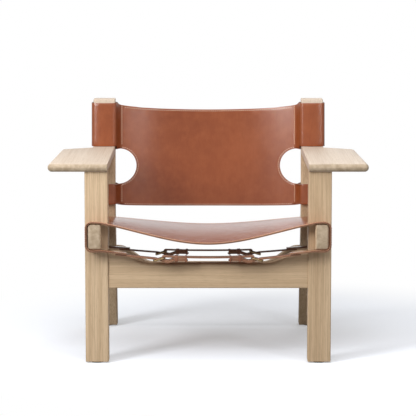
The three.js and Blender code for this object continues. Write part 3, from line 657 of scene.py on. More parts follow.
def flow(points, step):
    """Points about one step apart on a smooth curve through the given ones."""
    line = []
    ends = [np.array(p, float) for p in (points[0], *points, points[-1])]
    for p0, p1, p2, p3 in zip(ends, ends[1:], ends[2:], ends[3:]):
        count = max(1, round(float(np.linalg.norm(p2 - p1)) / step))
        for t in shares(count)[:-1]:
            line.append(0.5 * (2 * p1 + (p2 - p0) * t + (2 * p0 - 5 * p1 + 4 * p2 - p3) * t**2
                               + (3 * p1 - p0 - 3 * p2 + p3) * t**3))
    return [tuple(p) for p in (*line, ends[-1])]


def dress(obj, slot, *nodes, body="chair", place=None):
    """Puts a piece in its place and on its body, with the nodes that it stands for; its slot is not
    used.
    """
    if place:
        obj.data.transform(place)
    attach(obj, body)
    if nodes:
        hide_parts(*nodes)


# Oak pieces

def block(name, low, high, *materials):
    """A cube between two corners."""
    deselect()
    bpy.ops.mesh.primitive_cube_add(size=1, location=[(a + b) / 2 for a, b in zip(low, high)])
    obj = bpy.context.object
    obj.name = name
    obj.scale = [b - a for a, b in zip(low, high)]
    clothe(obj, *materials)
    return settle(obj)


def slice_at(obj, axis, places):
    """Cuts the faces of an object by planes across one axis."""
    take(obj)
    bpy.ops.object.mode_set(mode="EDIT")
    for place in places:
        bpy.ops.mesh.select_all(action="SELECT")
        point, normal = Vector((0, 0, 0)), Vector((0, 0, 0))
        point[axis], normal[axis] = place, 1
        bpy.ops.mesh.bisect(plane_co=point, plane_no=normal)
    bpy.ops.mesh.select_all(action="DESELECT")
    bpy.ops.object.mode_set(mode="OBJECT")


def paint(obj, rule):
    """Gives the second material to the faces that a rule picks."""
    for face in obj.data.polygons:
        face.material_index = int(rule(face))


def reshape(obj, rule):
    for vertex in obj.data.vertices:
        vertex.co = rule(*vertex.co)
    obj.data.update()


def ease(obj, width_of):
    """Rounds each edge by the width that a rule gives for its middle and its direction."""
    widths = []
    for edge in obj.data.edges:
        a, b = (obj.data.vertices[i].co for i in edge.vertices)
        widths.append(width_of((a + b) / 2, (b - a).normalized()))
    widest = max(widths)
    weights = obj.data.attributes.new("bevel_weight_edge", "FLOAT", "EDGE")
    for item, width in zip(weights.data, widths):
        item.value = width / widest
    modify(obj, "BEVEL", width=widest, segments=5, limit_method="WEIGHT",
           use_clamp_overlap=False)
    return shade(obj, 30)


def both_sides(make, name, node):
    """Models a right-hand piece and its mirror image; each hides the node that it stands for."""
    obj = make("right_" + name)
    dress(obj, "oak", "right_" + node)
    twin = obj.copy()
    twin.name, twin.data = "left_" + name, obj.data.copy()
    bpy.context.scene.collection.objects.link(twin)
    twin.data.transform(Matrix.Scale(-1, 4, (1, 0, 0)))
    twin.data.flip_normals()
    dress(twin, "oak", "left_" + node)


def front_leg(name):
    low = (LEG_INNER, LEG_FRONT, FOOT_HEIGHT)
    high = (LEG_OUTER, LEG_BACK, ARM_UNDERSIDE - WOOD_GAP)
    obj = block(name, low, high, oak_up)

    def width(middle, way):
        if abs(way.z) > 0.9:
            return WOOD_EDGE
        return FOOT_EDGE if middle.z < KNEE_HEIGHT else 0

    return ease(obj, width)


def rear_post(name):
    """A post bent at the knee; its top has painted light, a paler tone than the rest."""
    obj = block(name, (LEG_INNER, 0, FOOT_HEIGHT), (LEG_OUTER, 1, POST_HEIGHT), oak_up, oak_stub_painted_light)
    knee = [KNEE_HEIGHT + KNEE_BLEND * (share * 2 - 1) for share in shares(8)]
    slice_at(obj, 2, knee + [BACK_TOP])
    reshape(obj, lambda x, y, z: (x, post_back(z) if y > 0.5 else post_front(z), z))

    def width(middle, way):
        if middle.z < FOOT_HEIGHT + NEAR:
            return FOOT_EDGE
        return WOOD_EDGE if abs(way.z) > 0.9 or middle.z > POST_HEIGHT - NEAR else 0

    ease(obj, width)
    # The top takes the paler tone: painted light
    paint(obj, lambda face: face.center.z > BACK_TOP)
    return obj


def side_rail(name):
    obj = block(name, (RAIL_INNER, FRONT + RAIL_RECESS, 0), (RAIL_OUTER, 0.5, 1), oak_back, oak_end)

    def place(x, y, z):
        height = rail_top if z > 0.5 else rail_bottom
        if y > 0:
            for _ in range(6):
                y = post_front(height(y)) - WOOD_GAP
        return x, y, height(y)

    reshape(obj, place)
    paint(obj, lambda face: face.normal.y < -0.9)

    def width(middle, way):
        if middle.y > 0:
            return 0
        if middle.y < FRONT + RAIL_RECESS + NEAR:
            return RAIL_END_ROUND
        return RAIL_ROUND if middle.x > LEG_MIDDLE else WOOD_EDGE

    return ease(obj, width)


def armrest(name):
    """A broad flat board, half round in front and outside, with a skewed tail."""
    rear = post_front(ARM_UNDERSIDE + ARM_THICKNESS / 2) - ARM_REAR_INSET
    inner_rear = rear + ARM_SKEW * (ARM_OUTER - LEG_OUTER)
    low, high = (LEG_INNER, ARM_FRONT, ARM_UNDERSIDE), (LEG_OUTER, 0.5, ARM_TOP)
    # The board's oak is the paler tone, painted top light; its front is end grain
    obj = block(name, low, high, oak_arm_painted_light, oak_end)
    slice_at(obj, 1, [inner_rear])
    for face in obj.data.polygons:
        face.select = face.normal.x > 0.9 and face.center.y < inner_rear
    take(obj)
    bpy.ops.object.mode_set(mode="EDIT")
    outward = (ARM_OUTER - LEG_OUTER, 0, 0)
    bpy.ops.mesh.extrude_region_move(TRANSFORM_OT_translate={"value": outward})
    bpy.ops.mesh.select_all(action="DESELECT")
    bpy.ops.object.mode_set(mode="OBJECT")

    def place(x, y, z):
        if y > 0.4:
            return x, post_front(z) - WOOD_GAP, z
        if x > LEG_OUTER + NEAR and y > 0:
            return x - ARM_TAPER, rear, z
        return x, y, z

    reshape(obj, place)
    half = ARM_THICKNESS / 2 - ARM_FLAT

    def width(middle, way):
        level = abs(way.z) < 0.5
        if middle.y < ARM_FRONT + NEAR:
            return half if level or middle.x > LEG_OUTER else ARM_INNER_ROUND
        if middle.x > ARM_OUTER - ARM_TAPER - NEAR:
            return half if level else ARM_REAR_ROUND
        if middle.x < LEG_INNER + NEAR:
            return WOOD_EDGE if level else 0
        if level:
            return ARM_TAIL_EDGE if middle.x > LEG_OUTER + NEAR else 0
        at_tail = middle.x > LEG_OUTER - NEAR and middle.y < inner_rear + NEAR
        return ARM_TAIL_BLEND if at_tail else 0

    ease(obj, width)
    paint(obj, lambda face: face.center.y < ARM_FRONT + half / 2)
    return obj


def cross_rail(name, top, height, face, scoop, start, length):
    """A rail between the legs with a scooped top; face gives its front plane at a height."""
    low = top - height
    end = LEG_INNER - WOOD_GAP
    obj = block(name, (-end, 0, low), (end, 1, top), oak_across)
    flat = LEG_INNER - start
    stations = [flat - length * share for share in shares(18)]
    slice_at(obj, 0, stations + [-x for x in stations])

    def place(x, y, z):
        if z > (low + top) / 2:
            z = top - scoop * smooth((flat - abs(x)) / length)
        return x, face(z) + (CROSS_RAIL_THICKNESS if y > 0.5 else 0), z

    reshape(obj, place)

    def width(middle, way):
        if abs(way.x) < 0.5:
            return 0
        if middle.z < (low + top) / 2 or middle.y > face(middle.z) + CROSS_RAIL_THICKNESS / 2:
            return WOOD_EDGE
        share = smooth((flat - abs(middle.x)) / length)
        return WOOD_EDGE + (SCOOP_ROUND - WOOD_EDGE) * share

    ease(obj, width)
    dress(obj, "oak", name.replace("_board", ""))


def oak_pieces():
    both_sides(front_leg, "front_leg_post", "front_leg")
    both_sides(rear_post, "rear_post_bent", "rear_post")
    both_sides(side_rail, "side_rail_bar", "side_rail")
    both_sides(armrest, "armrest_board", "armrest")
    cross_rail("front_rail_board", FRONT_RAIL_TOP, FRONT_RAIL_HEIGHT,
               lambda z: LEG_FRONT + CROSS_RAIL_SETBACK,
               FRONT_RAIL_SCOOP, FRONT_RAIL_FLAT, FRONT_RAIL_RAMP)
    cross_rail("rear_rail_board", REAR_RAIL_TOP, REAR_RAIL_HEIGHT,
               lambda z: (post_front(z) + post_back(z) - CROSS_RAIL_THICKNESS) / 2,
               REAR_RAIL_SCOOP, REAR_RAIL_FLAT, REAR_RAIL_RAMP)
    for name, node in frame["nodes"].items():
        if name.endswith("glide"):
            node.material_slots[0].material = plastic


# Seat sling

def seat_sag(y):
    return SEAT_FRONT_SAG + (SEAT_REAR_SAG - SEAT_FRONT_SAG) * (y - FRONT) / (SEAT_BACK - FRONT)


def seat_strap_sag(y):
    return SEAT_FRONT_STRAP_SAG if y < (TAB_BACK + NOTCH_BACK) / 2 else SEAT_MIDDLE_STRAP_SAG


def seat_path(y):
    """The sling's middle surface at one distance from the front, as x and z."""
    edge = RAIL_INNER + WOOD_EDGE
    top = rail_top(y) + LIE

    def level(x):
        share = x / edge
        rise = SEAT_PARABOLA * share**2 + (1 - SEAT_PARABOLA) * smooth(share)
        return x, top - seat_sag(y) * (1 - rise)

    panel = [level(share * NOTCH_X) for share in shares(SEAT_PANEL_STEPS)]
    shoulder = [level(NOTCH_X + (edge - NOTCH_X) * share) for share in shares(3)[1:]]
    corner = RAIL_ROUND + LOOP_SHIFT
    over = arc(RAIL_OUTER - corner, rail_top(y) - corner, LOOP_ROUND, 90, 0, 10)
    under = arc(RAIL_OUTER - corner, rail_bottom(y) + corner, LOOP_ROUND, 0, -90, 10)
    flap = []
    sag = seat_strap_sag(y)
    for share in shares(SEAT_FLAP_STEPS):
        x, z = sag_point(RAIL_INNER, sag, RAIL_INNER - share * SEAT_FLAP_REACH, 0)
        flap.append((x, z + rail_bottom(y) - LIE - sag))
    return mirrored([*panel, *shoulder, *over, *under, *flap])


def seat_sling():
    """The seat's leather: it goes round both rails, with tabs under the seat for the straps."""
    tab = SEAT_TAB_WIDTH / 2
    rows, kinds = banded(
        FRONT, (TAB_BACK, 4, "tab"), (NOTCH_BACK, 4, "notch"),
        (SEAT_MIDDLE_STRAP - tab, 10, "wrap"), (SEAT_MIDDLE_STRAP + tab, 4, "tab"),
        (SEAT_BACK, 12, "wrap"))
    paths = [seat_path(y) for y in rows]
    grid = [[(x, y, z) for (x, z), y in zip(places, rows)] for places in zip(*paths)]
    centre = (len(grid) - 1) // 2
    reach = {"tab": centre, "notch": SEAT_PANEL_STEPS, "wrap": centre - SEAT_FLAP_STEPS}

    def keep(i, j):
        return centre - reach[kinds[j]] <= i < centre + reach[kinds[j]]

    obj = grid_sheet("seat_sling_leather", grid, keep)
    widest = max(path_length(path) for path in paths)
    length = (SEAT_BACK - FRONT) * hypot(1, RAIL_FALL)
    clothe(obj, seat_hide, seat_edge, painted_highlight_arris)
    # The arris takes the third material, a painted highlight
    thicken(obj, LEATHER, SEAT_CUT_EDGE, arris=2)
    dress(obj, "leather", "seat_sling")
    seat_stitches()


def along_path(path, step):
    """Places one step apart on a line of points, each with the line's direction there."""
    places, walked, due = [], 0.0, step / 2
    for a, b in zip(path, path[1:]):
        piece = dist(a, b)
        while due < walked + piece:
            way = [(q - p) / piece for p, q in zip(a, b)]
            places.append(([p + w * (due - walked) for p, w in zip(a, way)], way))
            due += step
        walked += piece
    return places


def seat_stitches():
    """Along the front edge, round both rails to the straps, and along the rear edge."""
    faces_of = ([], [])
    for y, left_out in ((FRONT + STITCH_INSET, 0), (SEAT_BACK - STITCH_INSET, SEAT_FLAP_STEPS)):
        path = seat_path(y)
        path = path[left_out:len(path) - left_out]
        for (x, z), (run, rise) in along_path(path, STITCH_PITCH):
            outward = Vector((-rise, 0, run))
            centre = Vector((x, y, z)) + outward * LEATHER / 2
            stitch(centre, Vector((run, 0, rise)), outward, faces_of)
    stitching("seat_sling_stitches", faces_of, seat_thread)


# Back sling

def back_drops(x):
    fall = (1 - min(abs(x) / SEAM_X, 1) ** 2) ** EDGE_FALL
    return SEAM_TOP_DROP + BACK_TOP_DROP * fall, SEAM_BOTTOM_DROP + BACK_BOTTOM_DROP * fall


def back_inboard(t, out):
    x, rise = sag_point(SEAM_X, BACK_SAG, t, out)
    return (x, SEAM_DEPTH + BACK_SAG - rise, upper_front, *back_drops(x))


def back_path():
    """The middle surface: x, a setback, the face it is measured from, and its edges' drops."""
    corner = WOOD_EDGE + SLEEVE_SHIFT
    near, far = LEG_INNER + corner, LEG_OUTER - corner
    inner = arc(near, corner, SLEEVE_ROUND, 180, 270 - SLEEVE_TURN, 9)
    outer = arc(far, corner, SLEEVE_ROUND, 270 + SLEEVE_TURN, 360, 9)
    panel = [back_inboard(share * SEAM_X, 0) for share in shares(BACK_PANEL_STEPS)]
    seam = panel[-1]
    for share in shares(STRIP_STEPS)[1:-1]:
        x, setback = (a + (b - a) * share for a, b in zip(seam, inner[0]))
        drops = (drop * (1 - smooth(share)) for drop in seam[3:])
        panel.append((x, setback, upper_front, *drops))
    x, y = inner[-1]
    width = outer[0][0] - x
    crown = width * tan(radians(SLEEVE_TURN))
    swell = [(x + width * s, y - crown * s * (1 - s)) for s in shares(10)[1:-1]]
    front_side = [*inner, *swell, *outer]
    sleeve = [(x, y, upper_front, 0, 0) for x, y in front_side]
    sleeve += [(x, -y, post_back, 0, 0) for x, y in front_side[::-1]]
    behind = LEATHER + LAYER_GAP
    flap = [back_inboard(SEAM_X - share * BACK_FLAP_INSET, behind) for share in shares(6)]
    return mirrored([*panel, *sleeve, *flap])


def back_point(entry, height):
    """A point of the sling at a height between its unbowed edges."""
    x, setback, face, top_drop, bottom_drop = entry
    share = (height - BACK_BOTTOM) / (BACK_TOP - BACK_BOTTOM)
    low = BACK_BOTTOM - bottom_drop
    z = low + share * (BACK_TOP - top_drop - low)
    return x, face(z) + setback, z


def back_sling():
    """The back's leather: sleeved round both posts, with an opening at each armrest."""
    heights, kinds = banded(
        BACK_BOTTOM, (LOWER_SLEEVE_TOP, 8, "sleeve"), (SLEEVE_BOTTOM, 12, "open"),
        (BACK_TOP, 12, "sleeve"))
    grid = [[back_point(entry, height) for height in heights] for entry in back_path()]
    centre = (len(grid) - 1) // 2
    reach = BACK_PANEL_STEPS + STRIP_STEPS

    def keep(i, j):
        return kinds[j] == "sleeve" or centre - reach <= i < centre + reach

    obj = grid_sheet("back_sling_leather", grid, keep)
    clothe(obj, back_hide, dark_edge)
    solidify(obj, LEATHER)
    for x in (OPENING_X, -OPENING_X):
        deselect()
        bpy.ops.mesh.primitive_cylinder_add(
            vertices=96, radius=OPENING_RADIUS, depth=OPENING_CUT,
            location=(x, OPENING_CUT / 2, OPENING_HEIGHT), rotation=(pi / 2, 0, 0))
        cutter = clothe(settle(bpy.context.object), dark_edge)
        modify(obj, "BOOLEAN", operation="DIFFERENCE", object=cutter, solver="EXACT",
               material_mode="TRANSFER")
        bpy.data.objects.remove(cutter)
    round_off(obj, CUT_EDGE, 2)
    shade(obj, 40)
    dress(obj, "leather", "back_sling")
    back_stitches()
    width = path_length([line[-1] for line in grid])


def stitch(centre, along, outward, faces_of):
    """A short thread whose ends dip into the leather."""
    points, faces = faces_of
    side = along.cross(outward)
    around = range(STITCH_SIDES)
    first = len(points)
    last = first + STITCH_SIDES * (len(STITCH_RINGS) - 1)
    for share, size, dip in STITCH_RINGS:
        middle = centre + along * STITCH_LENGTH * share - outward * STITCH_RADIUS * dip
        for k in around:
            turn = 2 * pi * k / STITCH_SIDES
            rim = outward * cos(turn) + side * sin(turn)
            points.append(middle + rim * STITCH_RADIUS * size)
    for start in range(first, last, STITCH_SIDES):
        for k in around:
            a, b = start + k, start + (k + 1) % STITCH_SIDES
            faces.append((a, a + STITCH_SIDES, b + STITCH_SIDES, b))
    faces.append(tuple(first + k for k in around))
    faces.append(tuple(last + k for k in reversed(around)))


def stitch_ends(low, high, count):
    """Where the stitches of a row meet, centred between two places."""
    middle = (low + high) / 2
    return [middle + (k - count / 2) * STITCH_PITCH for k in range(count + 1)]


def back_face(t, z, out):
    x, setback, face, *_ = back_inboard(t, out)
    return Vector((x, face(z) + setback, z))


def back_outward(x, z):
    """The way out of the leather's front."""
    across = back_face(x + PROBE, z, 0) - back_face(x - PROBE, z, 0)
    up = back_face(x, z + PROBE, 0) - back_face(x, z - PROBE, 0)
    return across.cross(up).normalized()


def back_stitches():
    """Down both seams, in front and on the flaps, along the edges and round the openings."""
    seam = SEAM_X - STITCH_INSET
    front, behind = -LEATHER / 2, LEATHER * 1.5 + LAYER_GAP
    lines = []
    for low, high in ((BACK_BOTTOM, LOWER_SLEEVE_TOP), (SLEEVE_BOTTOM, BACK_TOP - SEAM_TOP_DROP)):
        heights = stitch_ends(low, high, int((high - low) / STITCH_PITCH - 0.5))
        for x in (seam, -seam):
            lines += [(out, [(x, z) for z in heights]) for out in (front, behind)]
    across = stitch_ends(-seam, seam, int(2 * seam / STITCH_PITCH) - 2)
    lines.append((front, [(x, BACK_TOP - back_drops(x)[0] - STITCH_INSET) for x in across]))
    lines.append((front, [(x, BACK_BOTTOM - back_drops(x)[1] + STITCH_INSET) for x in across]))
    reach = OPENING_RADIUS + STITCH_INSET
    widest = 180 - degrees(acos((seam - OPENING_X) / reach))
    count = int(radians(2 * widest) * reach / STITCH_PITCH)
    half = arc(OPENING_X, OPENING_HEIGHT, reach, 180 - widest, 180 + widest, count)
    lines += [(front, half), (front, [(-x, z) for x, z in half])]
    faces_of = ([], [])
    for out, line in lines:
        for a, b in zip(line, line[1:]):
            outward = back_outward(*a) * (1 if out == front else -1)
            start, end = back_face(*a, out), back_face(*b, out)
            stitch((start + end) / 2, (end - start).normalized(), outward, faces_of)
    stitching("back_sling_stitches", faces_of, thread)


def stitching(name, faces_of, thread_finish):
    obj = made(name, *faces_of)
    clothe(obj, thread_finish)
    dress(shade(obj, 60), "leather")


# Straps, billets, buckles

def strap_sets():
    """Each set's name, place, hanging curve with the straps' level on it, and flap's end."""
    lean = atan(POST_LEAN)
    for name, y, sag, turn in (
        ("seat_front", SEAT_FRONT_STRAP, SEAT_FRONT_STRAP_SAG, FRONT_STRAP_TURN),
        ("seat_middle", SEAT_MIDDLE_STRAP, SEAT_MIDDLE_STRAP_SAG, 0),
    ):
        tilt = Matrix.Rotation(radians(turn) - atan(RAIL_FALL), 4, "X")
        place = Matrix.Translation((0, y, rail_bottom(y) - LIE - sag)) @ tilt
        curve = (RAIL_INNER, sag, -FLAP_LEVEL)
        yield name, place, curve, RAIL_INNER - SEAT_FLAP_REACH
    for name, z in (
        ("back_top", BACK_TOP - BACK_TOP_STRAP_INSET),
        ("back_middle", SLEEVE_BOTTOM + BACK_MIDDLE_SHARE * UPPER_SLEEVE_HEIGHT),
        ("back_lower", BACK_BOTTOM + BACK_LOWER_STRAP_INSET),
    ):
        y = upper_front(z) + SEAM_DEPTH + BACK_SAG
        place = Matrix.Translation((0, y, z)) @ Matrix.Rotation(pi / 2 - lean, 4, "X")
        curve = (SEAM_X, BACK_SAG * cos(lean), LEATHER + LAYER_GAP - FLAP_LEVEL)
        yield name, place, curve, SEAM_X - BACK_FLAP_INSET


def on_curve(curve, t, n):
    """A point at t along a set's hanging curve, n outside it."""
    half_span, sag, lift = curve
    return sag_point(half_span, sag, t, lift + n)


def ribbon(name, path, curve, slot, slotted, width=lambda t: 1):
    """Leather laid along a set's curve through t, n points, with a slot where slotted(t) says."""
    side = STRAP_WIDTH / 2
    columns = (-side, -side / 2, -slot, slot, side / 2, side)
    grid = []
    for t, n in path:
        x, z = on_curve(curve, t, n)
        grid.append([(x, c * width(t), z) for c in columns])

    def keep(i, j):
        return j != 2 or not slotted((path[i][0] + path[i + 1][0]) / 2)

    obj = grid_sheet(name, grid, keep)
    clothe(obj, strap_hide, strap_edge, painted_highlight_arris)
    # The arris takes the third material, a painted highlight
    return thicken(obj, STRAP_THICKNESS, CUT_EDGE, 2, 2)


def fold_path(level):
    """A fold's return, from the heel bar down to the strap."""
    top = level - MAIN_LEVEL
    drop = -MAIN_LEVEL - RETURN_LEVEL
    return [(STRAP_REACH - run * FOLD_RUN, top - fall * drop) for run, fall in FOLD_SHARES]


def centre_strap(name, curve):
    wrap = arc(STRAP_REACH, 0, -MAIN_LEVEL, -90, 90, 12)
    main = [(share * STRAP_REACH, MAIN_LEVEL) for share in shares(12)[:-1]]
    back = flow(fold_path(0), CURVE_STEP)[1:]
    tail_end = BILLET_TIP + FOLD_TAIL_SETBACK
    tail_run = STRAP_REACH - FOLD_RUN - tail_end
    tail = [(tail_end + tail_run * share, RETURN_LEVEL) for share in (0.66, 0.33, 0)]
    path = mirrored([*main, *wrap, *back, *tail])
    reach = STRAP_REACH + 2 * MAIN_LEVEL
    slot = TONGUE_WIDTH / 2 + TONGUE_SIDE_GAP
    return ribbon(name, path, curve, slot, lambda t: abs(t) >= reach)


def billet_path(flap_end):
    on_flap = FLAP_LEVEL + (LEATHER + STRAP_THICKNESS) / 2 + METAL_GAP
    under_far = BUCKLE_RISE - BAR_RADIUS - METAL_GAP * 4 - STRAP_THICKNESS / 2
    far = STRAP_REACH + BUCKLE_RUN
    over_heel = fold_path(NEXT_LAYER + METAL_GAP / 2)
    top = over_heel[0][1]
    return [
        (flap_end + BILLET_OVERLAP, on_flap),
        (flap_end, on_flap),
        ((flap_end + far) / 2, (on_flap + under_far) / 2),
        (far + BAR_RADIUS, under_far),
        (far - BAR_RADIUS * 2, under_far + METAL_GAP),
        (STRAP_REACH + BUCKLE_RUN * BILLET_CROSSING, (top + under_far) / 2 + METAL_GAP),
        (STRAP_REACH + BAR_RADIUS, top - METAL_GAP / 2),
        *over_heel,
        ((STRAP_REACH - FOLD_RUN + BILLET_TIP) / 2, BILLET_LEVEL),
        (BILLET_TIP, BILLET_LEVEL),
    ]


def billet(name, curve, flap_end):
    path = flow(billet_path(flap_end), CURVE_STEP)
    start, end = (STRAP_REACH + share * BUCKLE_RUN for share in BILLET_HOLE)

    def width(t):
        share = min((t - BILLET_TIP) / BILLET_POINT, 1)
        return 2 * BILLET_TIP_SHARE + (1 - 2 * BILLET_TIP_SHARE) * sqrt(max(share, 0))

    slot = TONGUE_WIDTH / 2 + METAL_GAP
    return ribbon(name, path, curve, slot, lambda t: start < t < end, width)


def keeper(name, curve, start, width):
    """A loop that holds a billet's tip down."""
    side = STRAP_WIDTH / 2 + METAL_GAP + KEEPER_THICKNESS / 2
    inner = MAIN_LEVEL - STRAP_THICKNESS / 2 + METAL_GAP - KEEPER_THICKNESS / 2
    outer = BILLET_LEVEL + STRAP_THICKNESS / 2 + METAL_GAP + KEEPER_THICKNESS / 2
    x, high, low = side - KEEPER_CORNER, outer - KEEPER_CORNER, inner + KEEPER_CORNER
    corners = ((x, high), (-x, high), (-x, low), (x, low))
    loop = rounded_loop(0, *((*corner, KEEPER_CORNER, 4) for corner in corners))
    grid = []
    for across, n in loop + loop[:1]:
        places = [on_curve(curve, start + share * width, n) for share in shares(2)]
        grid.append([(x, across, z) for x, z in places])
    obj = grid_sheet(name, grid)
    modify(obj, "WELD", merge_threshold=WELD_REACH)
    clothe(obj, strap_hide, strap_edge)
    return thicken(obj, KEEPER_THICKNESS, KEEPER_EDGE, 2)


def dome():
    """A rivet's head."""
    deselect()
    bpy.ops.mesh.primitive_uv_sphere_add(segments=20, ring_count=10, radius=RIVET_HEAD)
    obj = bpy.context.object
    bpy.ops.object.mode_set(mode="EDIT")
    bpy.ops.mesh.select_all(action="SELECT")
    bpy.ops.mesh.bisect(plane_co=(0, 0, 0), plane_no=(0, 0, 1), clear_inner=True, use_fill=True)
    bpy.ops.object.mode_set(mode="OBJECT")
    obj.scale = (1, 1, RIVET_DOME / RIVET_HEAD)
    return shade(clothe(settle(obj), brass), 50)


def rivet_domes(name, curve, flap_end):
    """Two heads on a billet's root, with their outer face away from the sitter."""
    half_span, sag, _ = curve
    face = FLAP_LEVEL + (LEATHER + 2 * STRAP_THICKNESS) / 2 + METAL_GAP
    heads = []
    for share in RIVET_SHARES:
        t = flap_end + share * BILLET_OVERLAP
        x, z = on_curve(curve, t, face)
        turn = pi + atan(2 * sag * t / half_span**2)
        head = dome()
        head.data.transform(Matrix.Translation((x, 0, z)) @ Matrix.Rotation(-turn, 4, "Y"))
        heads.append(head)
    take(heads[0])
    for head in heads:
        head.select_set(True)
    bpy.ops.object.join()
    heads[0].name = heads[0].data.name = name
    return heads[0]


def buckle_matrix(curve):
    heel = on_curve(curve, STRAP_REACH, 0)
    far = on_curve(curve, STRAP_REACH + BUCKLE_RUN, BUCKLE_RISE)
    angle = atan2(far[1] - heel[1], far[0] - heel[0])
    return Matrix.Translation((heel[0], 0, heel[1])) @ Matrix.Rotation(-angle, 4, "Y")


def rod(name, points, radius):
    """A closed loop of round rod through points, as a mesh."""
    data = bpy.data.curves.new(name, "CURVE")
    data.dimensions = "3D"
    data.bevel_depth = radius
    data.bevel_resolution = 3
    spline = data.splines.new("POLY")
    spline.points.add(len(points) - 1)
    for point, place in zip(spline.points, points):
        point.co = (*place, 1)
    spline.use_cyclic_u = True
    take(added(name, data))
    bpy.ops.object.convert(target="MESH")
    return bpy.context.object


def buckle(name):
    side = STRAP_WIDTH / 2 + BUCKLE_SIDE_GAP + BAR_RADIUS
    far = BUCKLE_LENGTH - FAR_CORNER
    loop = rounded_loop(-90, (far, FAR_CORNER - side, FAR_CORNER, 8),
                        (far, side - FAR_CORNER, FAR_CORNER, 8),
                        (HEEL_CORNER, side - HEEL_CORNER, HEEL_CORNER, 5),
                        (HEEL_CORNER, HEEL_CORNER - side, HEEL_CORNER, 5))
    obj = rod(name, [(x, y, 0) for x, y in loop], BAR_RADIUS)
    return shade(clothe(obj, brass), 60)


def tongue(name):
    """Turns on the heel bar and rests on the far bar."""
    hole = BAR_RADIUS + METAL_GAP
    path = arc(0, 0, hole + TONGUE_EYE_WALL / 2, 90, 380, 22)
    x, n = path[-1]
    path += [(x + TONGUE_LEAVE[0], n + TONGUE_LEAVE[1]),
             (BUCKLE_LENGTH / 2, hole + TONGUE_THICKNESS * 0.45),
             (BUCKLE_LENGTH - BAR_RADIUS, hole + TONGUE_THICKNESS / 2),
             (BUCKLE_LENGTH + BAR_RADIUS * 0.8, hole + TONGUE_THICKNESS * 0.42)]
    side = TONGUE_WIDTH / 2
    columns = (-side, -side / 2, 0, side / 2, side)
    obj = grid_sheet(name, [[(x, c, -n) for c in columns] for x, n in flow(path, TONGUE_STEP)])
    clothe(obj, brass)
    modify(obj, "SOLIDIFY", thickness=TONGUE_EYE_WALL, offset=0, use_even_offset=True)
    round_off(obj, TONGUE_EDGE, 3)
    return shade(obj, 50)


def strap_pieces():
    keepers = (("_keeper", KEEPER_START, KEEPER_WIDTH),
               ("_tip_keeper", BILLET_TIP + TIP_KEEPER_SETBACK, TIP_KEEPER_WIDTH))
    for name, place, curve, flap_end in strap_sets():
        strap = centre_strap(name + "_strap_leather", curve)
        dress(strap, "leather", name + "_strap", place=place)
        for side, turn in (("_right", 0), ("_left", pi)):
            end = place @ Matrix.Rotation(turn, 4, "Z")
            label = name + side
            for kind, start, width in keepers:
                loop = keeper(label + kind, curve, start, width)
                dress(loop, "leather", place=end)
            tab = billet(label + "_billet_leather", curve, flap_end)
            dress(tab, "leather", label + "_billet", place=end)
            rivets = rivet_domes(label + "_rivets", curve, flap_end)
            dress(rivets, "brass", place=end)
            end = end @ buckle_matrix(curve)
            dress(buckle(label + "_buckle_frame"), "brass", label + "_buckle", place=end)
            pin = label + "_tongue"
            dress(tongue(label + "_buckle_tongue"), "brass", pin, body=pin, place=end)


# Stage: floor, lights, camera

WHITE = (1, 1, 1, 1)
FILL = 0.15
FLOOR_SIZE = 60
FLOOR_TONE = (0.72, 0.755, 0.82, 1)
FLOOR_GLOW = 0.36
FLOOR_BOUNCE = (0.33, 0.33, 0.33, 1)
# The shaded ground fades to white between two distances from a middle
SHADE_MIDDLE = (0.15, 0.1, 0)
SHADE_ENDS = (0.5, 1.0)
# Name, place, the point it faces, width and height, power
LIGHTS = (
    ("left_light", (-2.1, -2.4, 1.95), (0, 0, 0.5), (0.75, 1.4), 72),
    ("overhead_light", (-0.2, -1.3, 2.7), (0, 0, 0.35), (2.2, 2.4), 62),
    ("right_light", (1.9, -2.5, 1.65), (0, 0, 0.5), (0.25, 1.2), 13),
    ("rear_light", (0.9, 2.6, 2.4), (0, 0, 0.4), (1.4, 1.4), 16),
)
CAMERA_PLACE = (-0.0005, -5.5569, 1.0997)
CAMERA_PITCH = 0.1303
CAMERA_LENS = 179.6
CAMERA_SENSOR = 36


def white_seen(shop):
    """One for the camera and for reflections and refractions, so that they show white ground."""
    path = shop.node("LightPath")
    return path["Is Camera Ray"] + path["Is Glossy Ray"] + path["Is Transmission Ray"]


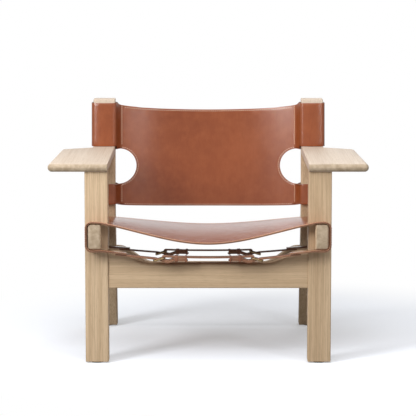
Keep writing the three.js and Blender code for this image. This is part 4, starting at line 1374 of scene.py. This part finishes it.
def lay_floor():
    deselect()
    bpy.ops.mesh.primitive_plane_add(size=FLOOR_SIZE, location=(0, FLOOR_SIZE / 3, 0))
    floor = settle(bpy.context.object)
    floor.name = "floor"
    shop = shop_for("pale_floor")
    matt = shop.node("BsdfDiffuse", {"Color": FLOOR_TONE})
    bounce = shop.node("BsdfDiffuse", {"Color": FLOOR_BOUNCE})
    glow = shop.node("Emission", {"Color": WHITE, "Strength": FLOOR_GLOW})
    white = shop.node("Emission", {"Color": WHITE, "Strength": 1.0})
    lit = shop.node("AddShader", {0: matt, 1: glow})
    spot = shop.coordinates(shift=[-place for place in SHADE_MIDDLE])
    distance = shop.node("VectorMath", {0: spot}, operation="LENGTH")["Value"]
    shown = shop.node("MixShader", {0: shop.eased(distance, *SHADE_ENDS), 1: lit, 2: white})
    ground = shop.node("MixShader", {0: white_seen(shop), 1: bounce, 2: shown})
    shop.node("OutputMaterial", {"Surface": ground})
    clothe(floor, shop.owner)


def world():
    bpy.context.scene.world = bpy.data.worlds.new("studio")
    shop = Shop(bpy.context.scene.world)
    fill = shop.node("Background", {"Color": WHITE, "Strength": FILL})
    white = shop.node("Background", {"Color": WHITE, "Strength": 1.0})
    ground = shop.node("MixShader", {0: white_seen(shop), 1: fill, 2: white})
    shop.node("OutputWorld", {"Surface": ground})


def softbox(name, place, target, size, power):
    lamp = bpy.data.lights.new(name, "AREA")
    lamp.shape = "RECTANGLE"
    lamp.size, lamp.size_y = size
    lamp.energy = power
    obj = added(name, lamp)
    obj.location = place
    way = Vector(target) - Vector(place)
    obj.rotation_euler = way.to_track_quat("-Z", "Y").to_euler()
    obj.visible_camera = False


def stage():
    lay_floor()
    world()
    for light in LIGHTS:
        softbox(*light)
    camera = added("camera", bpy.data.cameras.new("camera"))
    camera.location = CAMERA_PLACE
    camera.rotation_euler = (pi / 2 - CAMERA_PITCH, 0, 0)
    camera.data.lens = CAMERA_LENS
    camera.data.sensor_width = CAMERA_SENSOR
    bpy.context.scene.camera = camera
    bpy.context.scene.view_settings.view_transform = "Standard"


stage()
oak_pieces()
seat_sling()
back_sling()
strap_pieces()
